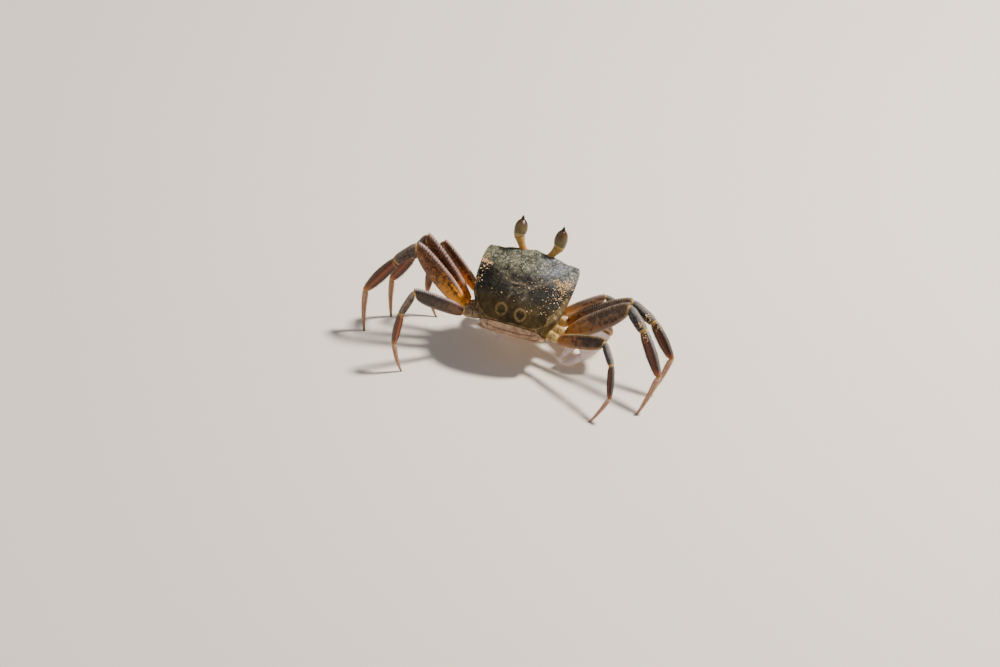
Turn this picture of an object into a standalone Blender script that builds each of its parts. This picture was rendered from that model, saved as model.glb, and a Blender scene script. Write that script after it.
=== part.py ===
"""Ghost crab (Ocypode), a still life-size model standing on its eight walking legs.

Metres, +Z up. The crab faces -Y and its right side is towards -X. The floor is z = 0, and the
origin is the middle of the model's box on the floor. Each plate or limb segment is one closed
solid, parted from its neighbours by a thin gap, as the real shell is parted at its joints.
"""
import math

import bmesh
import bpy
from mathutils import Matrix, Vector

# Driving dimensions ------------------------------------------------------------------------
WIDTH = 0.042             # breadth of the carapace between its side margins
GAP = 0.0003              # clearance between two neighbouring solids
STANCE_HEIGHT = 0.03197   # middle of the carapace above the floor
PITCH = math.radians(24.4)    # front of the body raised
ROLL = math.radians(5.2)      # right side of the body lowered

RIGHT = Vector((-1.0, 0.0, 0.0))
FORWARD = Vector((0.0, -1.0, 0.0))
UP = Vector((0.0, 0.0, 1.0))

# The body, in carapace widths. Each station: distance forward, then half-width and height of
# the side margin, height of the back's ridge, half-width and height of the belly.
BODY_STATIONS = (
    (0.462, 0.050, -0.030, -0.014, 0.040, -0.075),
    (0.445, 0.210, -0.030, 0.000, 0.170, -0.130),
    (0.420, 0.380, -0.028, 0.010, 0.290, -0.210),
    (0.382, 0.474, -0.022, 0.018, 0.350, -0.300),
    (0.330, 0.494, -0.022, 0.023, 0.370, -0.380),
    (0.240, 0.499, -0.024, 0.038, 0.345, -0.445),
    (0.100, 0.496, -0.030, 0.050, 0.335, -0.490),
    (-0.050, 0.481, -0.040, 0.048, 0.335, -0.495),
    (-0.150, 0.453, -0.050, 0.036, 0.355, -0.475),
    (-0.230, 0.410, -0.060, 0.018, 0.350, -0.440),
    (-0.300, 0.345, -0.072, -0.010, 0.350, -0.395),
    (-0.360, 0.285, -0.090, -0.045, 0.350, -0.328),
    (-0.400, 0.250, -0.125, -0.098, 0.340, -0.268),
    (-0.430, 0.215, -0.170, -0.150, 0.295, -0.215),
)
BELLY_RISE = 0.06         # belly edge above the belly's middle
SEAM_HEIGHT = -0.26       # carapace side wall meets the underside here
REAR_MARGIN = (-0.378, -0.068)    # where the carapace ends and the tail begins
TAIL_ROOT = (-0.300, -0.385)      # lower end of the cut between the body and the tail

# Eyes: where a stalk leaves the front margin, in carapace widths, and how far its stalk, its
# globe and its horn each reach, in millimetres to the right, forward and up
EYE_BASE = (0.136, 0.440, -0.035)
EYE_REACH = {
    "r": ((3.2, 2.4, 4.1), (1.6, 1.3, 8.6), (0.3, 0.3, 1.8)),
    "l": ((-2.4, 1.2, 6.0), (0.5, 2.9, 7.0), (0.1, 0.3, 1.7)),
}

# Walking legs, first to fourth: where the merus starts, and the lengths of merus, carpus,
# propodus and dactyl, in carapace widths
LEG_BASES = ((0.419, 0.113, -0.357), (0.461, -0.013, -0.338),
             (0.519, -0.194, -0.295), (0.492, -0.328, -0.202))
LEG_LENGTHS = ((0.608, 0.254, 0.381, 0.297), (0.765, 0.289, 0.396, 0.440),
               (0.765, 0.274, 0.483, 0.444), (0.600, 0.244, 0.331, 0.320))
LEG_GIRTHS = (0.72, 0.96, 1.0, 0.70)
HIP_ANCHOR = (0.30, 0.80, -0.05)  # inner end of a hip: half-width, share of the base's
                                  # distance forward, and drop below the base

# Stance of each leg: how far its hip has swung outwards, forward and up, in carapace widths;
# its merus against the usual length; then degrees: heading of its plane (0 is straight out,
# positive forward), lean of the plane, and the slopes of merus, carpus and propodus. The
# dactyl turns in until it reaches the floor.
STANCE = {
    "l1": ((0.068, -0.070, -0.050), 0.98, (8, 5, 45, -60, -83)),
    "l2": ((0.085, -0.081, -0.058), 1.00, (2, 4, 52, -56, -57)),
    "l3": ((0.031, -0.007, -0.006), 0.99, (-6, 10, 47, -41, -51)),
    "l4": ((0.023, 0.012, 0.002), 0.99, (-43, 9, 33, -51, -73)),
    "r1": ((-0.012, -0.029, -0.028), 0.87, (18, 26, 40, -51, -114)),
    "r2": ((0.017, -0.032, -0.013), 1.00, (-9, -23, 32, -23, -48)),
    "r3": ((0.000, 0.000, 0.000), 1.00, (-17, -32, 40, -31, -47)),
    "r4": ((0.000, 0.000, 0.000), 1.00, (-30, -34, 24, -34, -60)),
}

# Claws: points in millimetres to the right, forward and up, from the floor under the body
CLAWS = {
    "claw_r": {"hip": (7.0, 13.5, 18.5), "arm": (15.0, 16.2, 13.4), "wrist": (33.5, 8.0, 16.6),
               "hand": (36.5, 2.6, 17.3), "tip": (19.3, -5.0, 2.2), "girth": 1.0,
               "edge": (0.73, -0.22, -0.64), "hand_girth": 0.84},
    "claw_l": {"hip": (-5.0, 13.5, 19.0), "arm": (-10.5, 17.5, 15.5), "wrist": (-21.0, 17.6, 13.4),
               "hand": (-21.6, 12.8, 12.4), "tip": (-9.4, 0.4, 3.4), "girth": 0.74,
               "edge": (-0.60, -0.30, -0.74), "hand_girth": 0.68},
}

# Limb profiles: share of the length, half-breadth, half-thickness and bow, in millimetres
HIP = ((0.0, 2.5, 1.7, 0.0), (0.5, 2.9, 2.1, 0.0), (0.8, 2.7, 1.9, 0.0), (1.0, 2.0, 1.5, 0.0))
MERUS = ((0.0, 2.2, 1.4, 0.0), (0.12, 3.2, 1.7, 0.0), (0.3, 4.1, 1.8, 0.0), (0.5, 4.4, 1.8, 0.0),
         (0.7, 4.25, 1.8, 0.0), (0.88, 3.6, 1.7, 0.0), (0.96, 2.9, 1.6, 0.0), (1.0, 2.3, 1.5, 0.0))
MERUS_REAR = ((0.0, 2.6, 1.4, 0.0), (0.12, 3.7, 1.7, 0.0), (0.3, 4.3, 1.8, 0.0), (0.5, 4.5, 1.8, 0.0),
              (0.7, 4.5, 1.8, 0.0), (0.88, 4.0, 1.7, 0.0), (0.96, 3.3, 1.6, 0.0), (1.0, 2.6, 1.5, 0.0))
CARPUS = ((0.0, 1.8, 1.5, 0.0), (0.25, 2.4, 1.7, 0.15), (0.7, 2.4, 1.7, 0.15), (1.0, 2.0, 1.4, 0.0))
PROPODUS = ((0.0, 1.9, 1.3, 0.0), (0.2, 2.4, 1.5, 0.1), (0.5, 2.6, 1.5, 0.25), (0.8, 2.1, 1.3, 0.15),
            (1.0, 1.35, 1.0, 0.0))
DACTYL = ((0.0, 1.2, 0.9, 0.0), (0.15, 1.25, 0.95, 0.15), (0.45, 1.05, 0.8, 0.45),
          (0.75, 0.75, 0.6, 0.35), (1.0, 0.48, 0.42, 0.0), (1.1, 0.4, 0.36, -0.2))
CLAW_HIP = ((0.0, 2.6, 2.2, 0.0), (0.6, 3.1, 2.6, 0.0), (1.0, 2.7, 2.2, 0.0))
CLAW_ARM = ((0.0, 2.5, 2.1, 0.0), (0.3, 3.1, 2.6, 0.2), (0.7, 3.7, 2.8, 0.2), (1.0, 3.2, 2.5, 0.0))
CLAW_WRIST = ((0.0, 3.0, 2.5, 0.0), (0.4, 3.5, 3.0, 0.3), (0.75, 3.4, 2.9, 0.2), (1.0, 2.8, 2.4, 0.0))
CLAW_HAND = ((0.0, 2.8, 2.3, 0.0), (0.12, 4.0, 2.9, 0.0), (0.3, 5.3, 3.3, 0.2), (0.46, 5.5, 3.2, 0.3),
             (0.53, 4.2, 2.7, 1.5), (0.59, 2.2, 2.1, 3.2), (0.75, 1.8, 1.6, 2.6),
             (0.9, 1.15, 1.0, 1.4), (1.0, 0.5, 0.5, 0.2))
CLAW_THUMB = ((0.58, 1.5, 1.6, -3.1), (0.65, 1.9, 1.7, -3.6), (0.76, 1.7, 1.4, -3.5),
              (0.88, 1.2, 1.0, -2.4), (0.97, 0.5, 0.5, -1.1))

STALK = ((0.0, 1.5, 1.5, 0.0), (0.35, 1.5, 1.5, 0.0), (0.7, 1.8, 1.8, 0.0), (1.0, 2.2, 2.2, 0.0))
GLOBE = ((0.0, 2.2, 2.2, 0.0), (0.2, 2.6, 2.6, 0.0), (0.42, 2.8, 2.8, 0.0), (0.65, 2.6, 2.6, 0.0),
         (0.82, 2.1, 2.1, 0.0), (0.93, 1.45, 1.45, 0.0), (1.0, 0.9, 0.9, 0.0))
HORN = ((0.0, 0.85, 0.85, 0.0), (0.4, 0.6, 0.6, 0.0), (1.0, 0.28, 0.28, 0.0))

SHELL = (0.16, 0.17, 0.13)
FINISHES = {
    "carapace": (SHELL, 0.42), "thorax": ((0.62, 0.55, 0.42), 0.5), "tail": ((0.55, 0.45, 0.36), 0.5),
    "mouthparts": ((0.70, 0.62, 0.50), 0.5), "eyestalk": ((0.72, 0.50, 0.18), 0.4),
    "cornea": ((0.22, 0.18, 0.08), 0.2), "horn": ((0.05, 0.04, 0.035), 0.35),
    "hip": ((0.70, 0.55, 0.30), 0.5), "merus": ((0.30, 0.17, 0.08), 0.45),
    "carpus": ((0.15, 0.13, 0.11), 0.45), "propodus": ((0.27, 0.12, 0.07), 0.42),
    "dactyl": ((0.62, 0.47, 0.38), 0.45), "arm": ((0.72, 0.60, 0.50), 0.45),
    "wrist": ((0.72, 0.64, 0.58), 0.45), "hand": ((0.80, 0.74, 0.72), 0.42),
    "thumb": ((0.84, 0.78, 0.76), 0.42),
}


# Scene set-up ------------------------------------------------------------------------------
def clear_scene():
    for old in list(bpy.data.objects):
        bpy.data.objects.remove(old, do_unlink=True)


def new_collection(name):
    collection = bpy.data.collections.new(name)
    bpy.context.scene.collection.children.link(collection)
    return collection


def material(node, finish):
    colour, roughness = FINISHES[finish]
    made = bpy.data.materials.new(node)
    made.use_nodes = True
    shader = made.node_tree.nodes["Principled BSDF"]
    shader.inputs["Base Color"].default_value = (*colour, 1.0)
    shader.inputs["Roughness"].default_value = roughness
    shader.inputs["Metallic"].default_value = 0.0
    return made


def place(bm, name, origin, finish):
    """Turns a bmesh in model coordinates into an object of the crab that stands at origin."""
    bmesh.ops.recalc_face_normals(bm, faces=bm.faces)
    bmesh.ops.translate(bm, vec=-origin, verts=bm.verts)
    mesh = bpy.data.meshes.new(name)
    bm.to_mesh(mesh)
    bm.free()
    mesh.shade_smooth()
    mesh.materials.append(material(name, finish))
    made = bpy.data.objects.new(name, mesh)
    made.location = origin
    made.parent = crab
    parts.objects.link(made)
    return made


# The body's own axes -----------------------------------------------------------------------
def body_axes():
    nose = FORWARD * math.cos(PITCH) + UP * math.sin(PITCH)
    back = UP * math.cos(PITCH) - FORWARD * math.sin(PITCH)
    side = RIGHT * math.cos(ROLL) - back * math.sin(ROLL)
    crown = RIGHT * math.sin(ROLL) + back * math.cos(ROLL)
    return side, nose, crown


def body_point(across, ahead, above):
    """Model coordinates of a place given in carapace widths along the body's axes."""
    side, nose, crown = body_axes()
    middle = UP * STANCE_HEIGHT
    return middle + (side * across + nose * ahead + crown * above) * WIDTH


def stance_point(values):
    """Model coordinates of a place given in millimetres to the right, forward and up."""
    across, ahead, above = values
    return (RIGHT * across + FORWARD * ahead + UP * above) * 0.001


# Lofted forms ------------------------------------------------------------------------------
def skin_rings(bm, rings):
    """Closes a loft: quads between successive rings of equal count, and a face on each end."""
    loops = [[bm.verts.new(point) for point in ring] for ring in rings]
    for near, far in zip(loops, loops[1:]):
        for i in range(len(near)):
            j = (i + 1) % len(near)
            bm.faces.new((near[i], near[j], far[j], far[i]))
    bm.faces.new(list(reversed(loops[0])))
    bm.faces.new(loops[-1])


def body_ring(station, grow):
    """One section of the body: domed back, side walls that curve in, shallow keel below."""
    ahead, half, margin, ridge, belly_half, belly = station
    ahead *= 1.0 + grow / 0.44
    half += grow
    margin += grow * 0.3
    ridge += grow
    belly_half += grow
    belly -= grow
    points = []
    back_steps = 14
    for i in range(back_steps):
        x = -math.cos(math.pi * i / back_steps)
        points.append((half * x, margin + (ridge - margin) * (1.0 - x * x)))
    belly_edge = belly + min(BELLY_RISE, 0.5 * (margin - belly))
    wall_steps = 4
    for i in range(wall_steps):
        s = i / wall_steps
        points.append((half + (belly_half - half) * s ** 1.25, margin + (belly_edge - margin) * s))
    for i in range(back_steps):
        x = math.cos(math.pi * i / back_steps)
        points.append((belly_half * x, belly + (belly_edge - belly) * x * x))
    for i in range(wall_steps):
        s = 1.0 - i / wall_steps
        points.append((-half - (belly_half - half) * s ** 1.25, margin + (belly_edge - margin) * s))
    return [body_point(x, ahead, z) for x, z in points]


def body_form(grow=0.0):
    bm = bmesh.new()
    skin_rings(bm, [body_ring(station, grow) for station in BODY_STATIONS])
    return bm


def trim(bm, point, normal):
    """Keeps the part of a closed form behind a plane and closes the cut."""
    everything = bm.verts[:] + bm.edges[:] + bm.faces[:]
    bmesh.ops.bisect_plane(bm, geom=everything, plane_co=point, plane_no=normal, clear_outer=True)
    rim = [edge for edge in bm.edges if edge.is_boundary]
    bmesh.ops.triangle_fill(bm, edges=rim, use_beauty=True, normal=normal)


def limb(name, start, end, flat, profile, finish, girth=1.0, cuts=(None, None), sides=10):
    """A flattened limb segment between two points.

    flat is the direction in which it is thin. Each ring is an ellipse; towards an end that has
    a cut, the rings slant into that joint's plane. The profile's bow moves a ring along the
    breadth.
    """
    axis = (end - start).normalized()
    flat = (flat - axis * flat.dot(axis)).normalized()
    broad = flat.cross(axis)
    length = (end - start).length
    near, far = [cut or axis for cut in cuts]
    rings = []
    for share, breadth, thickness, bow in profile:
        to_far = max(0.0, min(1.0, share))
        near_weight = max(0.0, 1.0 - to_far / 0.45)
        far_weight = max(0.0, 1.0 - (1.0 - to_far) / 0.45)
        inset = GAP / 2.0 * (near_weight / axis.dot(near) - far_weight / axis.dot(far))
        centre = start + axis * (length * share + inset) + broad * (bow * girth * 0.001)
        ring = []
        for i in range(sides):
            angle = 2.0 * math.pi * (i + 0.5) / sides
            offset = broad * (math.cos(angle) * breadth) + flat * (math.sin(angle) * thickness)
            offset *= girth * 0.001
            slant = near_weight * offset.dot(near) / axis.dot(near)
            slant += far_weight * offset.dot(far) / axis.dot(far)
            ring.append(centre + offset - axis * slant)
        rings.append(ring)
    bm = bmesh.new()
    skin_rings(bm, rings)
    return bm if name is None else place(bm, name, start, finish)


def joint_plane(before, at, after):
    """Normal of the plane that halves the bend of a chain at one of its points."""
    return ((at - before).normalized() + (after - at).normalized()).normalized()


def carve(target, cutter):
    cut = target.modifiers.new("fit_to_body", "BOOLEAN")
    cut.operation = "DIFFERENCE"
    cut.object = cutter
    cut.solver = "EXACT"


# The body ----------------------------------------------------------------------------------
def seam_planes():
    side, nose, crown = body_axes()
    top = body_point(0.0, *REAR_MARGIN)
    foot = body_point(0.0, *TAIL_ROOT)
    behind = side.cross(foot - top).normalized()
    if behind.dot(nose) > 0.0:
        behind.negate()
    return crown, body_point(0.0, 0.0, SEAM_HEIGHT), behind, top


def body_plates():
    crown, seam, behind, top = seam_planes()
    half_gap = GAP / 2.0
    carapace = body_form()
    trim(carapace, seam + crown * half_gap, -crown)
    trim(carapace, top - behind * half_gap, behind)
    place(carapace, "carapace", body_point(0.0, 0.0, 0.0), "carapace")
    thorax = body_form()
    trim(thorax, seam - crown * half_gap, crown)
    trim(thorax, top - behind * half_gap, behind)
    place(thorax, "thorax", body_point(0.0, 0.0, -0.4), "thorax")
    tail = body_form()
    trim(tail, top + behind * half_gap, -behind)
    place(tail, "tail", body_point(0.0, REAR_MARGIN[0], -0.2), "tail")


def mouthparts(cutter):
    """The pair of mouth plates as one rounded slab on the sloping front below the eyes."""
    bm = bmesh.new()
    bmesh.ops.create_cube(bm, size=1.0)
    bmesh.ops.bevel(bm, geom=bm.edges[:], offset=0.22, segments=3, affect="EDGES", profile=0.6)
    side, nose, crown = body_axes()
    slope = (nose * 0.80 - crown * 0.60).normalized()
    rise = side.cross(slope).normalized()
    size = Matrix.Diagonal((0.34 * WIDTH, 0.10 * WIDTH, 0.22 * WIDTH)).to_4x4()
    turn = Matrix((side, slope, rise)).transposed().to_4x4()
    centre = body_point(0.0, 0.355, -0.335)
    bmesh.ops.transform(bm, matrix=Matrix.Translation(centre) @ turn @ size, verts=bm.verts)
    carve(place(bm, "mouthparts", centre, "mouthparts"), cutter)


def eye(side_name, sign, cutter):
    across, ahead, above = EYE_BASE
    points = [body_point(across * sign, ahead, above)]
    for reach in EYE_REACH[side_name]:
        points.append(points[-1] + stance_point(reach))
    bend = joint_plane(*points[0:3])
    top = joint_plane(*points[1:4])
    side = body_axes()[0]
    carve(limb("eyestalk_" + side_name, points[0], points[1], side, STALK, "eyestalk",
               cuts=(None, bend)), cutter)
    limb("cornea_" + side_name, points[1], points[2], side, GLOBE, "cornea",
         cuts=(bend, top), sides=14)
    limb("horn_" + side_name, points[2], points[3], side, HORN, "horn", cuts=(top, None), sides=8)


# The limbs ---------------------------------------------------------------------------------
def leg_base(key):
    """Where a leg's merus starts, in carapace widths along the body's axes."""
    sign = 1.0 if key[0] == "r" else -1.0
    base = LEG_BASES[int(key[1]) - 1]
    swing = STANCE[key][0]
    return sign * (base[0] + swing[0]), base[1] + swing[1], base[2] + swing[2]


def leg_chain(key):
    """Five points of a leg, from the start of the merus to the tip on the floor."""
    sign = 1.0 if key[0] == "r" else -1.0
    merus_share, angles = STANCE[key][1:]
    heading, lean, *slopes = [math.radians(value) for value in angles]
    out = RIGHT * (sign * math.cos(heading)) + FORWARD * math.sin(heading)
    across = out.cross(UP)
    lift = UP * math.cos(lean) + across * math.sin(lean)
    points = [body_point(*leg_base(key))]
    lengths = [length * WIDTH for length in LEG_LENGTHS[int(key[1]) - 1]]
    lengths[0] *= merus_share
    for length, slope in zip(lengths, slopes):
        points.append(points[-1] + (out * math.cos(slope) + lift * math.sin(slope)) * length)
    reach = points[-1].z / (lift.z * lengths[3])
    last = math.asin(min(1.0, reach)) - math.pi
    points.append(points[-1] + (out * math.cos(last) + lift * math.sin(last)) * lengths[3])
    return points, out.cross(lift)


def leg(key, cutter):
    index = int(key[1]) - 1
    girth = LEG_GIRTHS[index]
    points, flat = leg_chain(key)
    across, ahead, above = leg_base(key)
    half, share, drop = HIP_ANCHOR
    root = body_point(math.copysign(half, across), ahead * share, above + drop)
    chain = [root] + points
    planes = [joint_plane(*chain[i - 1:i + 2]) for i in range(1, 5)]
    name = "leg_" + key + "_"
    hip_girth = 0.80 if index < 3 else 0.72
    hip = limb(name + "hip", chain[0], chain[1], flat, HIP, "hip", hip_girth, (None, planes[0]))
    carve(hip, cutter)
    merus = MERUS_REAR if index == 3 else MERUS
    limb(name + "merus", chain[1], chain[2], flat, merus, "merus", girth, planes[0:2])
    limb(name + "carpus", chain[2], chain[3], flat, CARPUS, "carpus", girth, planes[1:3])
    limb(name + "propodus", chain[3], chain[4], flat, PROPODUS, "propodus", girth, planes[2:4])
    toe = limb(None, chain[4], chain[5], flat, DACTYL, "dactyl", 0.4 + 0.6 * girth,
               (planes[3], None), sides=8)
    trim(toe, Vector((0.0, 0.0, 0.0)), -UP)
    place(toe, name + "dactyl", chain[4], "dactyl")


def claw(key, cutter):
    plan = CLAWS[key]
    girth = plan["girth"]
    chain = [stance_point(plan[part]) for part in ("hip", "arm", "wrist", "hand", "tip")]
    planes = [joint_plane(*chain[i - 1:i + 2]) for i in range(1, 4)]
    edge = stance_point(plan["edge"]).normalized()
    flat = (chain[4] - chain[3]).normalized().cross(edge)
    carve(limb(key + "_hip", chain[0], chain[1], flat, CLAW_HIP, "hip", girth,
               (None, planes[0])), cutter)
    limb(key + "_arm", chain[1], chain[2], flat, CLAW_ARM, "arm", girth, planes[0:2])
    limb(key + "_wrist", chain[2], chain[3], flat, CLAW_WRIST, "wrist", girth, planes[1:3])
    girth = plan["hand_girth"]
    limb(key + "_hand", chain[3], chain[4], flat, CLAW_HAND, "hand", girth, (planes[2], None),
         sides=12)
    limb(key + "_thumb", chain[3], chain[4], flat, CLAW_THUMB, "thumb", girth, sides=10)


def centre_on_floor():
    """Moves the crab's parent so that the origin is the middle of the model's box."""
    bpy.context.view_layer.update()
    graph = bpy.context.evaluated_depsgraph_get()
    corners = []
    for part in parts.objects:
        if part.type == "MESH":
            seen = part.evaluated_get(graph)
            corners += [seen.matrix_world @ Vector(corner) for corner in seen.bound_box]
    low = [min(corner[i] for corner in corners) for i in range(3)]
    high = [max(corner[i] for corner in corners) for i in range(3)]
    crab.location = (-(low[0] + high[0]) / 2.0, -(low[1] + high[1]) / 2.0, -low[2])
    bpy.context.view_layer.update()


clear_scene()
parts = new_collection("ghost_crab")
cutters = new_collection("cutters")
crab = bpy.data.objects.new("crab", None)
parts.objects.link(crab)

keep_out_form = body_form(grow=1.2 * GAP / WIDTH)
bmesh.ops.recalc_face_normals(keep_out_form, faces=keep_out_form.faces)
keep_out_mesh = bpy.data.meshes.new("body_keep_out")
keep_out_form.to_mesh(keep_out_mesh)
keep_out_form.free()
keep_out = bpy.data.objects.new("body_keep_out", keep_out_mesh)
keep_out.parent = crab
keep_out.hide_render = True
keep_out.display_type = "WIRE"
cutters.objects.link(keep_out)

body_plates()
mouthparts(keep_out)
for side_name, sign in (("r", 1.0), ("l", -1.0)):
    eye(side_name, sign, keep_out)
for key in STANCE:
    leg(key, keep_out)
for key in CLAWS:
    claw(key, keep_out)
centre_on_floor()
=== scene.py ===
import math

import bpy
import numpy as np
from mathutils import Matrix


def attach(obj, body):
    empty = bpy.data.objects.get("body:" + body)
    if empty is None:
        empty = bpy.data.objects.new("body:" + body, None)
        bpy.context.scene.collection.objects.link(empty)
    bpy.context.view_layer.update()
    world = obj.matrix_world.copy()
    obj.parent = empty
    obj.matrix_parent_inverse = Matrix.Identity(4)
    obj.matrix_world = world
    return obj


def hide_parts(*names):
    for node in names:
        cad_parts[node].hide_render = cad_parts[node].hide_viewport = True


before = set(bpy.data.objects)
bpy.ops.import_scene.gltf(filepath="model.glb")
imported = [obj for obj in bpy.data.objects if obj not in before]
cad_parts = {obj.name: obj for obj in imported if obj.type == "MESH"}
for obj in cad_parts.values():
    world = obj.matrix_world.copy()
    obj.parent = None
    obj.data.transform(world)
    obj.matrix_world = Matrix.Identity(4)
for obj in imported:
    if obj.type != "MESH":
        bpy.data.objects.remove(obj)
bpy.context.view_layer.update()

# Sizes shared with the CAD part ------------------------------------------------------------
WIDTH = 0.042
GAP = 0.0003
HALF_GAP = GAP / 2.0 / WIDTH                        # in carapace widths
STANCE_HEIGHT = 0.03197
PITCH = math.radians(24.4)
ROLL = math.radians(5.2)
SHIFT = np.array((0.00028965, -0.00616244, 0.0))    # body's middle from the box's middle
RIGHT = np.array((-1.0, 0.0, 0.0))
FORWARD = np.array((0.0, -1.0, 0.0))
UP = np.array((0.0, 0.0, 1.0))
MM = 0.001
TURN = 2.0 * math.pi

# Body sections in carapace widths: distance forward, margin half-width and height, height of
# the back's ridge, half-width and height of the belly
BODY_STATIONS = np.array((
    (0.462, 0.050, -0.030, -0.014, 0.040, -0.075),
    (0.445, 0.210, -0.030, 0.000, 0.170, -0.130),
    (0.420, 0.380, -0.028, 0.010, 0.290, -0.210),
    (0.382, 0.474, -0.022, 0.018, 0.350, -0.300),
    (0.330, 0.494, -0.022, 0.023, 0.370, -0.380),
    (0.240, 0.499, -0.024, 0.038, 0.345, -0.445),
    (0.100, 0.496, -0.030, 0.050, 0.335, -0.490),
    (-0.050, 0.481, -0.040, 0.048, 0.335, -0.495),
    (-0.150, 0.453, -0.050, 0.036, 0.355, -0.475),
    (-0.230, 0.410, -0.060, 0.018, 0.350, -0.440),
    (-0.300, 0.345, -0.072, -0.010, 0.350, -0.395),
    (-0.360, 0.285, -0.090, -0.045, 0.350, -0.328),
    (-0.400, 0.250, -0.125, -0.098, 0.340, -0.268),
    (-0.430, 0.215, -0.170, -0.150, 0.295, -0.215),
))
CORNER = 38.0                                       # sharpness of the back's rear corners
BELLY_RISE = 0.06
SEAM_HEIGHT = -0.26
REAR_MARGIN = (-0.378, -0.068)
TAIL_ROOT = (-0.300, -0.385)
BLOCKY = 0.55                                       # below 1, squarer mouth plates
HIND_ROW = -0.398                                   # hindmost row of the carapace and thorax

EYE_BASE = (0.136, 0.440, -0.035)
EYE_REACH = {
    "r": ((3.2, 2.4, 4.1), (1.6, 1.3, 8.6), (0.3, 0.3, 1.8)),
    "l": ((-2.4, 1.2, 6.0), (0.5, 2.9, 7.0), (0.1, 0.3, 1.7)),
}
LEG_BASES = ((0.419, 0.113, -0.357), (0.461, -0.013, -0.338),
             (0.519, -0.194, -0.295), (0.492, -0.328, -0.202))
LEG_LENGTHS = ((0.608, 0.254, 0.381, 0.297), (0.765, 0.289, 0.396, 0.440),
               (0.765, 0.274, 0.483, 0.444), (0.600, 0.244, 0.331, 0.320))
LEG_GIRTHS = (0.72, 0.96, 1.0, 0.70)
HIP_ANCHOR = (0.30, 0.80, -0.05)
STANCE = {
    "l1": ((0.068, -0.070, -0.050), 0.98, (8, 5, 45, -60, -83)),
    "l2": ((0.085, -0.081, -0.058), 1.00, (2, 4, 52, -56, -57)),
    "l3": ((0.031, -0.007, -0.006), 0.99, (-6, 10, 47, -41, -51)),
    "l4": ((0.023, 0.012, 0.002), 0.99, (-43, 9, 33, -51, -73)),
    "r1": ((-0.012, -0.029, -0.028), 0.87, (18, 26, 40, -51, -114)),
    "r2": ((0.017, -0.032, -0.013), 1.00, (-9, -23, 32, -23, -48)),
    "r3": ((0.000, 0.000, 0.000), 1.00, (-17, -32, 40, -31, -47)),
    "r4": ((0.000, 0.000, 0.000), 1.00, (-30, -34, 24, -34, -60)),
}
CLAWS = {
    "claw_r": {"hip": (7.0, 13.5, 18.5), "arm": (15.0, 16.2, 13.4), "wrist": (33.5, 8.0, 16.6),
               "hand": (36.5, 2.6, 17.3), "tip": (19.3, -5.0, 2.2), "girth": 1.0,
               "edge": (0.73, -0.22, -0.64), "hand_girth": 0.84},
    "claw_l": {"hip": (-5.0, 13.5, 19.0), "arm": (-10.5, 17.5, 15.5), "wrist": (-21.0, 17.6, 13.4),
               "hand": (-21.6, 12.8, 12.4), "tip": (-9.4, 0.4, 3.4), "girth": 0.74,
               "edge": (-0.60, -0.30, -0.74), "hand_girth": 0.68},
}

# Limb profiles: share of the length, half-breadth, half-thickness and bow, in millimetres,
# or share and radius for the round parts of an eye
HIP = ((0.0, 2.5, 1.7, 0.0), (0.5, 2.9, 2.1, 0.0), (0.8, 2.7, 1.9, 0.0), (1.0, 2.0, 1.5, 0.0))
MERUS = ((0.0, 2.2, 1.4, 0.0), (0.12, 3.2, 1.7, 0.0), (0.3, 4.1, 1.8, 0.0), (0.5, 4.4, 1.8, 0.0),
         (0.7, 4.25, 1.8, 0.0), (0.88, 3.6, 1.7, 0.0), (0.96, 2.9, 1.6, 0.0), (1.0, 2.3, 1.5, 0.0))
MERUS_REAR = ((0.0, 2.6, 1.4, 0.0), (0.12, 3.7, 1.7, 0.0), (0.3, 4.3, 1.8, 0.0), (0.5, 4.5, 1.8, 0.0),
              (0.7, 4.5, 1.8, 0.0), (0.88, 4.0, 1.7, 0.0), (0.96, 3.3, 1.6, 0.0), (1.0, 2.6, 1.5, 0.0))
CARPUS = ((0.0, 1.8, 1.5, 0.0), (0.25, 2.4, 1.7, 0.15), (0.7, 2.4, 1.7, 0.15), (1.0, 2.0, 1.4, 0.0))
PROPODUS = ((0.0, 1.9, 1.3, 0.0), (0.2, 2.4, 1.5, 0.1), (0.5, 2.6, 1.5, 0.25), (0.8, 2.1, 1.3, 0.15),
            (1.0, 1.35, 1.0, 0.0))
DACTYL = ((0.0, 1.2, 0.9, 0.0), (0.15, 1.25, 0.95, 0.15), (0.45, 1.05, 0.8, 0.45),
          (0.75, 0.75, 0.6, 0.35), (1.0, 0.48, 0.42, 0.0), (1.1, 0.4, 0.36, -0.2))
CLAW_HIP = ((0.0, 2.6, 2.2, 0.0), (0.6, 3.1, 2.6, 0.0), (1.0, 2.7, 2.2, 0.0))
CLAW_ARM = ((0.0, 2.5, 2.1, 0.0), (0.3, 3.1, 2.6, 0.2), (0.7, 3.7, 2.8, 0.2), (1.0, 3.2, 2.5, 0.0))
CLAW_WRIST = ((0.0, 3.0, 2.5, 0.0), (0.4, 3.5, 3.0, 0.3), (0.75, 3.4, 2.9, 0.2), (1.0, 2.8, 2.4, 0.0))
CLAW_HAND = ((0.0, 2.8, 2.3, 0.0), (0.12, 4.0, 2.9, 0.0), (0.3, 5.3, 3.3, 0.2), (0.46, 5.5, 3.2, 0.3),
             (0.53, 4.2, 2.7, 1.5), (0.59, 2.2, 2.1, 3.2), (0.75, 1.8, 1.6, 2.6),
             (0.9, 1.15, 1.0, 1.4), (1.0, 0.5, 0.5, 0.2))
CLAW_THUMB = ((0.58, 1.5, 1.6, -3.1), (0.65, 1.9, 1.7, -3.6), (0.76, 1.7, 1.4, -3.5),
              (0.88, 1.2, 1.0, -2.4), (0.97, 0.5, 0.5, -1.1))
STALK = ((0.0, 1.5), (0.35, 1.5), (0.7, 1.8), (1.0, 2.2))
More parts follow.
